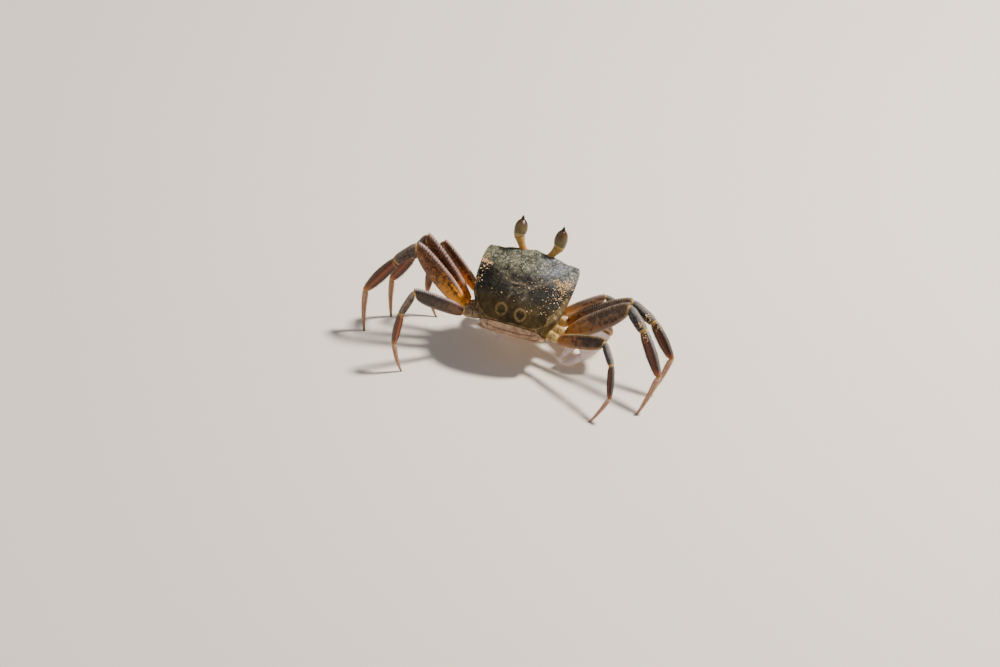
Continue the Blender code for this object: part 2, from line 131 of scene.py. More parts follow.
GLOBE = ((0.0, 2.2), (0.2, 2.6), (0.42, 2.8), (0.65, 2.6), (0.82, 2.1), (0.93, 1.45), (1.0, 0.9))
HORN = ((0.0, 0.85), (0.4, 0.6), (1.0, 0.28))
MERUS_TEETH = 29
SLANTED = 0.45                                      # share of a segment that a joint slants

CAMERA_PLACE = (-0.7486, 1.9038, 1.5266)
CAMERA_AIM = (0.0131, -0.0142, 0.0)


# Plain maths -------------------------------------------------------------------------------
def unit(vector):
    """The vector, or each of them along the last axis, divided by its own length."""
    return vector / np.linalg.norm(vector, axis=-1, keepdims=True)


def hump(value, middle, width):
    """Bell curve: e to the power of minus ((value - middle) / width) squared."""
    return np.exp(-((value - middle) / width) ** 2)


def ease(value, low, high):
    """Rises from 0 at low to 1 at high along 3 t squared - 2 t cubed."""
    t = np.clip((value - low) / (high - low), 0.0, 1.0)
    return t * t * (3.0 - 2.0 * t)


def power(value, exponent):
    """The size of the value to a power, with the value's own sign."""
    return np.sign(value) * abs(value) ** exponent


def spread(end, count):
    """Even steps from 0 towards the end, without the end itself."""
    return np.linspace(0.0, end, count, endpoint=False)


def smooth_through(places, heights, at):
    """Monotone cubic through the given points. Its slope at an inner point is a weighted
    harmonic mean of the slopes on its two sides, or zero where those change sign."""
    x = np.asarray(places, float)
    y = np.asarray(heights, float)
    step = np.diff(x)
    rise = np.diff(y) / step
    same = rise[:-1] * rise[1:] > 0.0
    before = np.where(same, rise[:-1], 1.0)
    after = np.where(same, rise[1:], 1.0)
    weight_a = 2.0 * step[1:] + step[:-1]
    weight_b = step[1:] + 2.0 * step[:-1]
    slope = np.empty_like(y)
    slope[0] = rise[0]
    slope[-1] = rise[-1]
    slope[1:-1] = np.where(same, (weight_a + weight_b) / (weight_a / before + weight_b / after), 0.0)
    i = np.clip(np.searchsorted(x, at, side="right") - 1, 0, len(x) - 2)
    t = np.clip((at - x[i]) / step[i], 0.0, 1.0)
    curve = y[i] * (1 + 2 * t) * (1 - t) ** 2 + y[i + 1] * t * t * (3 - 2 * t)
    return curve + step[i] * (slope[i] * t * (1 - t) ** 2 + slope[i + 1] * t * t * (t - 1))


def body_axes():
    """The body's own side, nose and crown directions, pitched nose up and then rolled."""
    nose = FORWARD * math.cos(PITCH) + UP * math.sin(PITCH)
    back = UP * math.cos(PITCH) - FORWARD * math.sin(PITCH)
    side = RIGHT * math.cos(ROLL) - back * math.sin(ROLL)
    crown = RIGHT * math.sin(ROLL) + back * math.cos(ROLL)
    return side, nose, crown


SIDE, NOSE, CROWN = body_axes()


def body_place(across, ahead, above):
    """Middle of the body plus each distance, in carapace widths, along its own body axis."""
    across, ahead, above = np.broadcast_arrays(across, ahead, above)
    offset = across[..., None] * SIDE + ahead[..., None] * NOSE + above[..., None] * CROWN
    return UP * STANCE_HEIGHT + SHIFT + offset * WIDTH


def reach(values):
    """Vector of millimetres to the right, forward and up."""
    return (RIGHT * values[0] + FORWARD * values[1] + UP * values[2]) * MM


# Meshes from arrays ------------------------------------------------------------------------
def tube(rings):
    """Closed skin of a stack of rings: four-sided faces between each ring and the next, right
    round, and a fan from the middle of the first ring and of the last one."""
    rows, around = rings.shape[:2]
    points = np.concatenate((rings.reshape(-1, 3), rings[:1].mean(axis=1), rings[-1:].mean(axis=1)))
    i, j = np.meshgrid(np.arange(rows - 1), np.arange(around), indexing="ij")
    k = (j + 1) % around
    quads = np.stack((i * around + j, i * around + k, (i + 1) * around + k, (i + 1) * around + j), -1)
    j = np.arange(around)
    k = (j + 1) % around
    first = np.stack((k, j, np.full(around, rows * around)), -1)
    base = (rows - 1) * around
    last = np.stack((base + j, base + k, np.full(around, rows * around + 1)), -1)
    return points, quads.reshape(-1, 4), np.concatenate((first, last))


def pole_values(grid):
    """A value for every point of a tube: the grid's own, then the mean of its two end rings."""
    return np.concatenate((grid.reshape(-1), [grid[0].mean(), grid[-1].mean()]))


def joined(shapes):
    """Several (points, quads, triangles) as one, each one's numbers moved up past the last."""
    counts = np.cumsum([0] + [len(shape[0]) for shape in shapes])
    faces = (np.concatenate([shape[n] + start for shape, start in zip(shapes, counts)]) for n in (1, 2))
    return np.concatenate([shape[0] for shape in shapes]), *faces


def outward(points, quads, triangles):
    """Turns all the faces round where the enclosed volume, a sixth of the sum of the triple
    products of the faces' corners, comes out negative."""
    split = np.concatenate((quads[:, (0, 1, 2)], quads[:, (0, 2, 3)], triangles))
    a, b, c = (points[split[:, n]] - points.mean(axis=0) for n in range(3))
    if np.einsum("ij,ij->i", a, np.cross(b, c)).sum() < 0.0:
        return quads[:, ::-1], triangles[:, ::-1]
    return quads, triangles


def piece(name, shape, finish, nodes, marks, patches=None):
    """Writes the arrays into a mesh, with its marks as point attributes, and fits it to the
    crab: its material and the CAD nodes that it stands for."""
    points, quads, triangles = shape
    quads, triangles = outward(points, quads, triangles)
    mesh = bpy.data.meshes.new(name)
    corners = np.concatenate((quads.reshape(-1), triangles.reshape(-1))).astype(np.int32)
    starts = np.concatenate((np.arange(len(quads)) * 4,
                             len(quads) * 4 + np.arange(len(triangles)) * 3)).astype(np.int32)
    mesh.vertices.add(len(points))
    mesh.vertices.foreach_set("co", points.astype(np.float32).reshape(-1))
    mesh.loops.add(len(corners))
    mesh.loops.foreach_set("vertex_index", corners)
    mesh.polygons.add(len(starts))
    mesh.polygons.foreach_set("loop_start", starts)
    mesh.polygons.foreach_set("use_smooth", np.ones(len(starts), bool))
    mesh.update(calc_edges=True)
    mesh.validate()
    for mark, values in marks.items():
        mesh.attributes.new(mark, "FLOAT", "POINT").data.foreach_set("value", values.astype(np.float32))
    if patches is not None:
        layer = mesh.uv_layers.new(name="OFBake")
        layer.uv.foreach_set("vector", patches[corners].astype(np.float32).reshape(-1))
    made = bpy.data.objects.new(name, mesh)
    bpy.context.collection.objects.link(made)
    made.data.materials.append(finish)
    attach(made, "root")
    if nodes:
        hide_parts(*nodes)
    return made


def skin(node, rings, look, marks):
    """A node's own skin from rings of points, with a value of each mark at each of them."""
    piece(node + "_skin", tube(rings), FINISH[look], (node,),
          {key: pole_values(grid) for key, grid in marks.items()})


# Materials ---------------------------------------------------------------------------------
def tone(red, green, blue):
    """Linear colour of three screen values from 0 to 255."""
    screen = np.array((red, green, blue)) / 255.0
    linear = np.where(screen <= 0.04045, screen / 12.92, ((screen + 0.055) / 1.055) ** 2.4)
    return (*linear.tolist(), 1.0)


def maths(operation, turned=False):
    """A method that adds one Math node on its two values, turned round where asked."""
    def method(self, other=0.0):
        pair = (other, self) if turned else (self, other)
        return self.paint.add("ShaderNodeMath", {"operation": operation}, {0: pair[0], 1: pair[1]})
    return method


class Wire:
    """One output socket, so that maths on values reads as plain expressions."""

    def __init__(self, paint, socket):
        self.paint = paint
        self.socket = socket

    __add__ = __radd__ = maths("ADD")
    __mul__ = __rmul__ = maths("MULTIPLY")
    __sub__ = maths("SUBTRACT")
    __rsub__ = maths("SUBTRACT", turned=True)
    __abs__ = maths("ABSOLUTE")
    sine = maths("SINE")
    root = maths("SQRT")

    def rising(self, low, high):
        """0 below low, 1 above high, smooth between."""
        return self.paint.add("ShaderNodeMapRange", {"interpolation_type": "SMOOTHSTEP"},
                              {0: self, 1: low, 2: high, 3: 0.0, 4: 1.0})

    def bell(self, middle, width):
        """1 at middle, 0 a width away on either side."""
        return abs(self - middle).rising(width, 0.0)


class Paint:
    """One material. add() makes every node; a colour is a socket or three screen values. The
    colour starts with base(), and each over() lays one more on top."""

    def __init__(self, name):
        self.material = bpy.data.materials.new(name)
        self.material.use_nodes = True
        self.tree = self.material.node_tree
        self.colour = None

    def add(self, kind, settings=None, sockets=None, output=0):
        node = self.tree.nodes.new(kind)
        for key, setting in (settings or {}).items():
            setattr(node, key, setting)
        for key, value in (sockets or {}).items():
            self.feed(node.inputs[key], value)
        return Wire(self, node.outputs[output])

    def feed(self, socket, value):
        if isinstance(value, Wire):
            self.tree.links.new(value.socket, socket)
        else:
            socket.default_value = value

    def place(self):
        return self.add("ShaderNodeTexCoord", output=3)

    def mark(self, name):
        return self.add("ShaderNodeAttribute", {"attribute_name": name}, output=2)

    def noise(self, size, detail=3.0, rough=0.55, stretch=None):
        """Cloudy value from 0 to 1 whose lumps are about size metres across."""
        where = self.place()
        if stretch:
            where = self.add("ShaderNodeMapping", None, {0: where, 3: stretch})
        return self.add("ShaderNodeTexNoise", None,
                        {"Vector": where, "Scale": 1.0 / size, "Detail": detail, "Roughness": rough})

    def cells(self, size, feature="F1"):
        """Distance to the nearest of scattered points about size metres apart."""
        return self.add("ShaderNodeTexVoronoi", {"feature": feature},
                        {"Vector": self.place(), "Scale": 1.0 / size})

    def blend(self, mask, first, second):
        """First colour where the mask is 0, second where it is 1."""
        first, second = (colour if isinstance(colour, Wire) else tone(*colour) for colour in (first, second))
        return self.add("ShaderNodeMix", {"data_type": "RGBA"}, {0: mask, 6: first, 7: second}, 2)

    def base(self, mask, first, second):
        self.colour = self.blend(mask, first, second)

    def over(self, mask, colour):
        self.colour = self.blend(mask, self.colour, colour)

    def finish(self, roughness, height, depth, subsurface=0.0, coat=0.0, shine=0.4):
        """Feeds the shader: height, from 0 to 1, stands depth metres proud as a bump."""
        bump = self.add("ShaderNodeBump", None, {"Strength": 1.0, "Distance": depth, "Height": height})
        feeds = {"Base Color": self.colour, "Roughness": roughness, "Normal": bump,
                 "Subsurface Weight": subsurface, "Subsurface Radius": (1.0, 0.6, 0.3),
                 "Subsurface Scale": 0.0008, "Specular IOR Level": shine, "Coat Weight": coat,
                 "Coat Roughness": 0.3}
        for name, value in feeds.items():
            self.feed(self.tree.nodes["Principled BSDF"].inputs[name], value)
        return self.material


def carapace_finish():
    """Granular grey-green front, near-black middle and shoulders, olive-brown rear with two
    pale rings, a thin broken rim, and side walls that turn cream below the sockets."""
    paint = Paint("carapace_shell")
    across = paint.mark("across")
    ahead = paint.mark("ahead")
    cloud = paint.noise(0.0042, 5.0, 0.62)
    fine = paint.noise(0.0009, 4.0, 0.7)
    # Pale granule specks: partly the granules' own tone and partly painted glints on them.
    granule_and_glint = fine.rising(0.50, 0.62)
    pore = fine.rising(0.47, 0.36)
    front = paint.blend(cloud.rising(0.38, 0.64), (58, 59, 47), (98, 97, 76))
    # Bluish patch towards the right of the front: painted sheen.
    front = paint.blend(across.rising(-0.05, 0.3) * cloud.rising(0.3, 0.6) * 0.7, front, (104, 110, 128))
    front = paint.blend(granule_and_glint * 0.62, front, (178, 176, 156))
    front = paint.blend(pore * 0.55, front, (34, 38, 32))
    rear = paint.blend(cloud.rising(0.36, 0.68), (38, 28, 10), (74, 58, 28))
    rear = paint.blend(pore * 0.3, rear, (24, 18, 8))
    drift = ahead + (cloud - 0.5) * 0.24
    paint.base(cloud.rising(0.42, 0.66), (13, 12, 10), (40, 37, 28))
    paint.over(granule_and_glint * 0.18, (120, 112, 92))
    paint.over(drift.rising(0.06, 0.27), front)
    paint.over(drift.rising(-0.05, -0.22), rear)
    paint.over(across.rising(-0.24, -0.38) * ahead.bell(0.08, 0.21) * 0.92, (14, 12, 10))
    blotch = across.rising(0.10, 0.28) * ahead.bell(0.04, 0.17) * cloud.rising(0.40, 0.56)
    paint.over(blotch * 0.8, (18, 18, 18))
    # Near-black along the back's creases: painted shade.
    paint.over(paint.mark("groove") * 0.9, (9, 8, 7))
    # Pale line along the crest just behind each crease: painted highlight.
    paint.over(paint.mark("crest_highlight") * fine.rising(0.3, 0.6) * 0.9, (160, 142, 118))
    left = ring_mask(across, ahead, cloud, fine, -0.12, -0.268)
    right = ring_mask(across, ahead, cloud, fine, 0.085, -0.275)
    paint.over((left * 0.85 + right) * 0.55, (142, 116, 76))
    back_edge = paint.mark("rim") * cloud.rising(0.34, 0.6) * ahead.rising(0.1, -0.16)
    paint.over(back_edge * 0.6, (172, 142, 92))
    paint.over(paint.mark("rim") * ahead.rising(0.2, 0.36) * 0.75, (204, 194, 162))
    streak = paint.noise(0.0022, 3.0, 0.5, (1.0, 1.0, 0.35))
    flank = paint.blend(cloud.rising(0.36, 0.62), (62, 50, 28), (100, 84, 52))
    flank = paint.blend(streak.rising(0.54, 0.7) * 0.6, flank, (176, 152, 108))
    face = paint.blend(fine.rising(0.4, 0.7), (226, 208, 168), (196, 170, 122))
    depth = paint.mark("depth") + (cloud - 0.5) * 0.06
    flank = paint.blend(depth.rising(0.03, 0.08) * ahead.rising(0.22, 0.36), flank, face)
    flank = paint.blend(depth.rising(0.10, 0.22) * 0.7, flank, face)
    # Darker in the crease under the nose: painted shade.
    flank = paint.blend(paint.mark("groove") * 0.7, flank, (112, 84, 52))
    # Darker brown in the eye sockets: painted shade in the recess.
    socket = paint.blend(fine.rising(0.4, 0.65), (70, 54, 34), (110, 90, 60))
    flank = paint.blend(paint.mark("socket").rising(0.15, 0.75), flank, socket)
    paint.over(paint.mark("wall"), flank)
    height = (1.0 - paint.cells(0.00034).rising(0.0, 0.8)) * 0.6 + fine * 0.4
    return paint.finish(0.36 + fine * 0.22, height, 0.00018, 0.0, 0.03, 0.16)


def ring_mask(across, ahead, cloud, fine, middle_across, middle_ahead):
    """1 on a wavy circle of radius 0.052 widths round a middle, 0 off it."""
    side = across - middle_across
    fore = ahead - middle_ahead
    distance = (side * side + fore * fore).root() + (cloud - 0.5) * 0.06 + (fine - 0.5) * 0.03
    return distance.bell(0.052, 0.020) * fine.rising(0.28, 0.5)


def shell_finish(name, pale, dark, line, size=0.003, subsurface=0.1):
    """Two mottled tones, with a third along the creases marked groove, painted there as shade."""
    paint = Paint(name)
    fine = paint.noise(0.0006, 2.0, 0.5)
    paint.base(paint.noise(size, 4.0, 0.6).rising(0.38, 0.62), pale, dark)
    paint.over(fine.rising(0.62, 0.75) * 0.4, line)
    # Painted shade along the creases and pits marked groove.
    paint.over(paint.mark("groove") * 0.8, line)
    return paint.finish(0.45 + fine * 0.15, fine, 0.00006, subsurface, 0.08)


def merus_finish(name, rim_pale, rim_dark, base, far, dark, blotches, lower, glow):
    """Upper margin banded across, face from base tone to far tone under a net of dark patches
    with paler lanes, which thickens below the margin and near the knee, and a toned lower
    margin."""
    paint = Paint(name)
    along = paint.mark("along")
    edge = paint.mark("edge")
    cloud = paint.noise(0.0021, 4.0, 0.62)
    fine = paint.noise(0.0006, 4.0, 0.65)
    lanes = paint.cells(0.0030, "DISTANCE_TO_EDGE").rising(0.07, 0.015)
    place = along.rising(0.05, 0.8) * 0.32 + edge.bell(0.5, 0.55) * 0.24
    patch = cloud.rising(0.3, 0.7) * 0.42 + fine * 0.25 + place
    low = 0.64 - 0.30 * blotches
    spots = patch.rising(low, low + 0.34)
    paint.base(along.rising(0.08, 0.75), base, far)
    paint.over(spots * 0.9, dark)
    paint.over(lanes * spots * cloud.rising(0.35, 0.6) * 0.7, far)
    paint.over(fine.rising(0.50, 0.66) * 0.3, dark)
    paint.over((edge + (cloud - 0.5) * 0.2).rising(-0.58, -0.86) * 0.75, lower)
    teeth = (along * (MERUS_TEETH * TURN) + cloud * 9.0).sine().rising(-0.4, 0.8)
    banded = paint.blend(teeth * along.rising(0.15, 0.5) * 0.8, rim_pale, rim_dark)
    banded = paint.blend(fine.rising(0.42, 0.66) * 0.5, banded, rim_dark)
    rim = (edge + (cloud - 0.5) * 0.3).rising(0.60, 0.86) * along.rising(0.02, 0.3)
    paint.over(rim * 0.9, banded)
    paint.over(along.rising(0.975, 0.993) * cloud.rising(0.35, 0.6) * 0.5, (182, 148, 88))
    return paint.finish(0.36 + fine * 0.24, fine * 0.6 + teeth * rim * 0.4, 0.00009, glow, 0.12)


def carpus_finish(name, face, pale, dark):
    """Slate face with pale specks, a pale upper edge that is painted highlight, a darker lower side that is
    painted shade, and thin broken yellow at both ends.
    """
    paint = Paint(name)
    along = paint.mark("along")
    edge = paint.mark("edge")
    cloud = paint.noise(0.0018, 4.0, 0.65)
    fine = paint.noise(0.0005, 3.0, 0.6)
    paint.base(cloud.rising(0.35, 0.62), dark, face)
    # Pale along the upper edge: painted highlight.
    paint.over((edge + cloud * 0.4).rising(0.35, 0.95) * 0.55, pale)
    # Darker along the lower side: painted shade.
    paint.over(edge.rising(-0.2, -0.9) * 0.6, dark)
    paint.over(fine.rising(0.54, 0.66) * 0.6, pale)
    paint.over(fine.rising(0.44, 0.34) * 0.5, dark)
    ends = along.rising(0.05, 0.015) + along.rising(0.94, 0.975)
    paint.over(ends * cloud.rising(0.3, 0.5) * 0.75, (190, 154, 84))
    return paint.finish(0.38 + fine * 0.24, fine, 0.00015, 0.0, 0.08, 0.3)


def propodus_finish(name, outer, middle, inner, end):
    """Bands along the length: grey outer edge, dark red-brown with a redder middle, and an
    amber end, with a slanting yellow line near the start."""
    paint = Paint(name)
    along = paint.mark("along")
    edge = paint.mark("edge")
    streak = paint.noise(0.0014, 4.0, 0.65)
    fine = paint.noise(0.0005, 3.0, 0.6)
    wander = edge + (streak - 0.5) * 0.5
    paint.base(wander.bell(-0.05, 0.5), inner, middle)
    paint.over(wander.rising(0.50, 0.88), outer)
    paint.over(streak.rising(0.52, 0.7) * 0.5, (34, 18, 12))
    paint.over(fine.rising(0.60, 0.72) * 0.4, (186, 150, 118))
    paint.over(along.rising(0.80, 0.98) * 0.65, end)
    slanted = along + edge * 0.03
    paint.over(slanted.bell(0.055, 0.022) * fine.rising(0.3, 0.5) * 0.6, (190, 154, 84))
    return paint.finish(0.32 + fine * 0.24, fine, 0.00008, 0.1, 0.15)


def dactyl_finish(name, pale, groove, tip):
    """Pale toe, darker in its flutes as painted shade, with a dark horny tip."""
    paint = Paint(name)
    fine = paint.noise(0.0004, 2.0, 0.5)
    paint.base(paint.noise(0.0012, 3.0, 0.6).rising(0.4, 0.7) * 0.5, pale, groove)
    # Darker in the flutes: painted shade.
    paint.over(paint.mark("groove") * 0.7, groove)
    paint.over(paint.mark("along").rising(0.72, 0.98) * 0.9, tip)
    return paint.finish(0.36 + fine * 0.15, fine, 0.00005, 0.3, 0.1)


def cornea_finish():
    """Olive-brown eye, brown-orange to one side and dark under the horn, with a dark ridge
    down from it and fine facets."""
    paint = Paint("cornea_glassy")
    along = paint.mark("along")
    edge = paint.mark("edge")
    cloud = paint.noise(0.002, 3.0, 0.6)
    slanted = along - edge * 0.07
    paint.base(along.rising(0.1, 0.6), (88, 72, 36), (66, 48, 22))
    paint.over(edge.rising(0.2, 0.95) * 0.55, (128, 118, 74))
    paint.over(along.rising(0.45, 0.95) * 0.9, (56, 30, 12))
    paint.over(cloud.rising(0.5, 0.7) * 0.35, (122, 80, 32))
    ridge = (abs(edge) + (cloud - 0.5) * 0.3).rising(0.42, 0.12) * along.rising(0.60, 0.84)
    paint.over(ridge * 0.9, (20, 11, 9))
    paint.over(slanted.rising(0.125, 0.11), (176, 144, 78))
    paint.over(slanted.bell(0.12, 0.02) * 0.7, (214, 196, 132))
    return paint.finish(0.34 + cloud * 0.1, paint.cells(0.00016).rising(0.0, 0.7), 0.00001, 0.1, 0.2)


def stalk_finish():
    """Amber stalk, orange at its foot and khaki towards the eye."""
    paint = Paint("eyestalk_amber")
    fine = paint.noise(0.0004, 2.0, 0.5)
    paint.base(paint.mark("along").rising(0.0, 0.55), (184, 112, 26), (172, 134, 60))
    paint.over(paint.noise(0.0015, 3.0, 0.6).rising(0.5, 0.7) * 0.5, (126, 82, 26))
    return paint.finish(0.36 + fine * 0.15, fine, 0.00004, 0.1, 0.2)


def horn_finish():
    """Near-black horn with fine grain."""
    paint = Paint("horn_black")
    fine = paint.noise(0.0004, 2.0, 0.5)
    paint.base(fine, (26, 20, 18), (52, 38, 30))
    return paint.finish(0.3 + fine * 0.2, fine, 0.00004, 0.0, 0.2)


def sand_finish():
    """Sand grains: each one's own mark picks a tone from cream to orange-brown."""
    paint = Paint("sand_grains")
    pick = paint.mark("pick")
    fine = paint.noise(0.0002, 2.0, 0.5)
    paint.base(pick.rising(0.2, 0.55), (252, 232, 190), (238, 186, 112))
    paint.over(pick.rising(0.7, 0.9), (150, 96, 58))
    return paint.finish(0.35 + fine * 0.3, fine, 0.00003)


def bristle_finish():
    """Bristles: each one's own mark picks a tone from brown to straw."""
    paint = Paint("bristles")
    shade = paint.mark("pick")
    paint.base(shade, (120, 84, 48), (196, 160, 108))
    return paint.finish(0.5 + shade * 0.1, shade, 0.00001)


# Body --------------------------------------------------------------------------------------
def column(number, ahead):
    """One column of the body sections as a smooth function of the distance forward."""
    return smooth_through(BODY_STATIONS[::-1, 0], BODY_STATIONS[::-1, number], ahead)


def line_dip(across, ahead, start, end, width):
    """Bell curve of the distance to a straight segment from start to end."""
    run = np.array(end) - np.array(start)
    t = ((across - start[0]) * run[0] + (ahead - start[1]) * run[1]) / run.dot(run)
    t = np.clip(t, 0.0, 1.0)
    distance = np.hypot(across - start[0] - t * run[0], ahead - start[1] - t * run[1])
    return hump(distance, 0.0, width)


def back_grooves(across, ahead):
    """Depth from 0 to 1 of the creases of the back: an arch over the heart, two arms behind
    it, a V, and a faint crease out to each side."""
    sway = 0.010 * np.sin(ahead * 70.0) + 0.006 * np.sin(across * 90.0 + 1.0)
    x = across + sway
    y = ahead + 0.8 * sway
    arch = hump(y, 0.020 - 3.0 * (x + 0.005) ** 2, 0.016) * ease(abs(x + 0.005), 0.13, 0.06)
    pit = hump(x, -0.045, 0.055) * hump(y, -0.005, 0.022) + 0.5 * hump(x, 0.02, 0.03) * hump(y, -0.02, 0.02)
    total = 0.55 * arch + 0.9 * pit
    for sign in (-1.0, 1.0):
        total = total + 0.5 * line_dip(x, y, (sign * 0.085, -0.01), (sign * 0.070, -0.15), 0.016)
        total = total + 0.35 * line_dip(x, y, (sign * 0.10, 0.0), (sign * 0.24, 0.10), 0.020)
        total = total + 0.35 * line_dip(x, y, (-0.01, -0.095), (sign * 0.05, -0.045), 0.012)
        total = total + 0.25 * line_dip(x, y, (sign * 0.17, 0.32), (sign * 0.12, 0.17), 0.022)
    return np.clip(total, 0.0, 1.0)


def back_relief(across, ahead):
    """Height, in carapace widths, that the swellings, each with its mirror twin, and the
    creases add to the plain dome, with two ripples of crossed sines."""
    lumps = (
        (0.0, 0.20, 0.13, 0.0035), (0.0, -0.15, 0.06, 0.003), (0.27, -0.03, 0.13, 0.008),
        (0.10, 0.30, 0.05, 0.005), (0.20, 0.20, 0.05, 0.004), (0.34, 0.26, 0.06, -0.006),
        (0.40, 0.10, 0.05, 0.004), (0.0, 0.38, 0.03, -0.002), (0.16, -0.22, 0.05, 0.003),
    )
    total = -0.007 * back_grooves(across, ahead)
    for x, y, size, height in lumps:
        for side in (-x, x):
            total = total + height * np.exp(-((across - side) ** 2 + (ahead - y) ** 2) / size ** 2)
    ripple = np.sin(across * 61 + 2 * np.sin(ahead * 47)) * np.sin(ahead * 57 + 2 * np.sin(across * 39))
    small = np.sin(across * 143 + 3 * np.sin(ahead * 71)) * np.sin(ahead * 131 + 3 * np.sin(across * 87))
    return total + 0.0012 * ripple + 0.0005 * small


def edge_distance(across, ahead):
    """Distance to the outline of the back: the width left over, divided by the length of the
    outline's slope, joined to the distance to the rear margin by a smooth least value (minus
    the log of the sum of e to minus CORNER times each, over CORNER)."""
    slope = (column(1, ahead + 0.002) - column(1, ahead - 0.002)) / 0.004
    side = np.maximum((column(1, ahead) - abs(across)) / np.sqrt(1.0 + slope ** 2), 0.0)
    rear = np.clip(ahead - REAR_MARGIN[0] - 0.002, -0.05, 0.5)
    return -np.log(np.exp(-CORNER * side) + np.exp(-CORNER * rear)) / CORNER


def rim_inset(across, ahead):
    """How far in from the outline the rim runs: 0.05 widths along the rear half of the right
    side and 0.012 of the left, where the side wall turns up onto the back, else nothing."""
    wide = 0.031 + 0.019 * np.sign(across)
    return wide * ease(ahead, 0.13, 0.02) * ease(ahead, -0.30, -0.20)


def back_height(across, ahead):
    """Margin height plus the dome, (ridge - margin) times (1 - share of the half-width
    squared), plus the relief and a low bead along the rim, and a little lower outside it."""
    half = column(1, ahead)
    share = np.clip(across / half, -1.0, 1.0)
    dome = column(2, ahead) + (column(3, ahead) - column(2, ahead)) * (1.0 - share ** 2)
    margin = edge_distance(across, ahead) - rim_inset(across, ahead)
    inner = ease(margin, 0.0, 0.05)
    bead = 0.005 * hump(margin, 0.006, 0.006) - 0.005 * ease(margin, 0.0, -0.02)
    return dome + back_relief(across, ahead) * inner + bead


def rear_plane(above):
    """Distance forward of the cut between the body and the tail, at a height."""
    slope = (TAIL_ROOT[0] - REAR_MARGIN[0]) / (TAIL_ROOT[1] - REAR_MARGIN[1])
    return REAR_MARGIN[0] + slope * (above - REAR_MARGIN[1])


def socket_mask(across, above):
    """1 in the long sockets where the eyes fold down, below the margin on both sides of the
    nose, 0 elsewhere: a bell curve in height, cut off at both ends across."""
    side = abs(across)
    return hump(above, -0.100 - 0.02 * side, 0.040) ** 1.5 * ease(side, 0.15, 0.21) * ease(side, 0.455, 0.40)


def front_shape(across, ahead, above):
    """Shift forward: the margin scallops above the sockets, stands out at the outer teeth, and
    the face below it sinks into the sockets over a beaded ridge and swells at the cheeks."""
    front = ease(ahead, 0.30, 0.37)
    side = abs(across)
    scallop = -0.016 * hump(side, 0.33, 0.055) + 0.010 * hump(side, 0.462, 0.022)
    upper = ease(above, -0.06, -0.03)
    beads = 0.7 + 0.3 * np.sin(across * 330.0)
    ridge = hump(above, -0.168 - 0.03 * side, 0.013) * ease(side, 0.14, 0.19) * ease(side, 0.47, 0.42)
    nose = 0.010 * hump(side, 0.0, 0.05) * ease(above, -0.15, -0.09)
    under_nose = -0.020 * hump(above, -0.175, 0.018) * ease(side, 0.16, 0.12)
    cheek = 0.012 * hump(side, 0.30, 0.10) * hump(above, -0.235, 0.04)
    total = scallop * upper - 0.055 * socket_mask(across, above) + 0.010 * ridge * beads
    return front * (total + nose + under_nose + cheek)


class Section:
    """The body's outline at distances forward. Its walls run inwards as (share of the way
    down) to the power 1.25, and its belly rises as the distance out squared."""

    def __init__(self, ahead):
        self.half, self.margin, self.ridge, self.belly_half, self.belly = (
            column(number, ahead) for number in range(1, 6))
        self.belly_edge = self.belly + np.minimum(BELLY_RISE, 0.5 * (self.margin - self.belly))
        self.seam_share = np.clip((self.margin - SEAM_HEIGHT) / (self.margin - self.belly_edge), 0.0, 1.0)

    def wall(self, share):
        """Distance out and height of the wall at a share of the way down."""
        across = self.half + (self.belly_half - self.half) * share ** 1.25
        return across, self.margin + (self.belly_edge - self.margin) * share

    def keel(self, across):
        """Height of the belly at a distance out."""
        return self.belly + (self.belly_edge - self.belly) * (across / self.belly_half) ** 2


def carapace():
    """The back, x being the half-width times -cos, and the upper side walls, down to the seam
    and back to the rear cut. Below the seam it is closed straight across."""
    start = BODY_STATIONS[0, 0]
    over, down, under = 200, 44, 36
    ahead = (start + (HIND_ROW - start) * np.linspace(0.0, 1.0, 270) ** 1.45)[:, None]
    section = Section(ahead)
    back_x = -np.cos(np.arange(over) / over * math.pi) * section.half
    fall = np.arange(down) / down
    wall_x, wall_z = section.wall(section.seam_share * fall)
    left_x, left_z = section.wall(section.seam_share * (1.0 - fall))
    lid_x = np.cos(np.arange(under) / under * math.pi) * section.wall(section.seam_share)[0]
    lid_z = np.maximum(section.keel(lid_x), SEAM_HEIGHT)
    across = np.concatenate((back_x, wall_x, lid_x, -left_x), axis=1)
    above = np.concatenate((back_height(back_x, ahead), wall_z, lid_z, left_z), axis=1)
    row = np.broadcast_to(ahead, across.shape)
    wall = np.ones_like(across)
    wall[:, :over] = 0.0
    wall[:, 0] = 0.5
    margin = edge_distance(across, row) - rim_inset(across, row)
    rim = hump(margin, 0.003, 0.0045) * (1.0 - wall)
    wall = np.maximum(wall, ease(margin, 0.0, -0.008))
    groove = back_grooves(across, row) * (1.0 - wall)
    # Just behind each crease of the back; this mark carries a painted highlight.
    crest_highlight = back_grooves(across, row - 0.018) * (1.0 - wall) * (1.0 - groove)
    face = ease(row, 0.30, 0.37)
    # Marks the crease under the nose, which the carapace finish darkens as painted shade.
    under_nose = hump(above, -0.175, 0.012) * ease(abs(across), 0.15, 0.12) * face
    forward = np.maximum(row + front_shape(across, row, above), rear_plane(above) + HALF_GAP)
    skin("carapace", body_place(across, forward, above), "carapace", {
        "across": across, "ahead": row, "wall": wall, "rim": rim, "crest_highlight": crest_highlight,
        "groove": np.maximum(groove, under_nose * wall), "depth": column(2, row) - above,
        "socket": socket_mask(across, above) * face * wall})


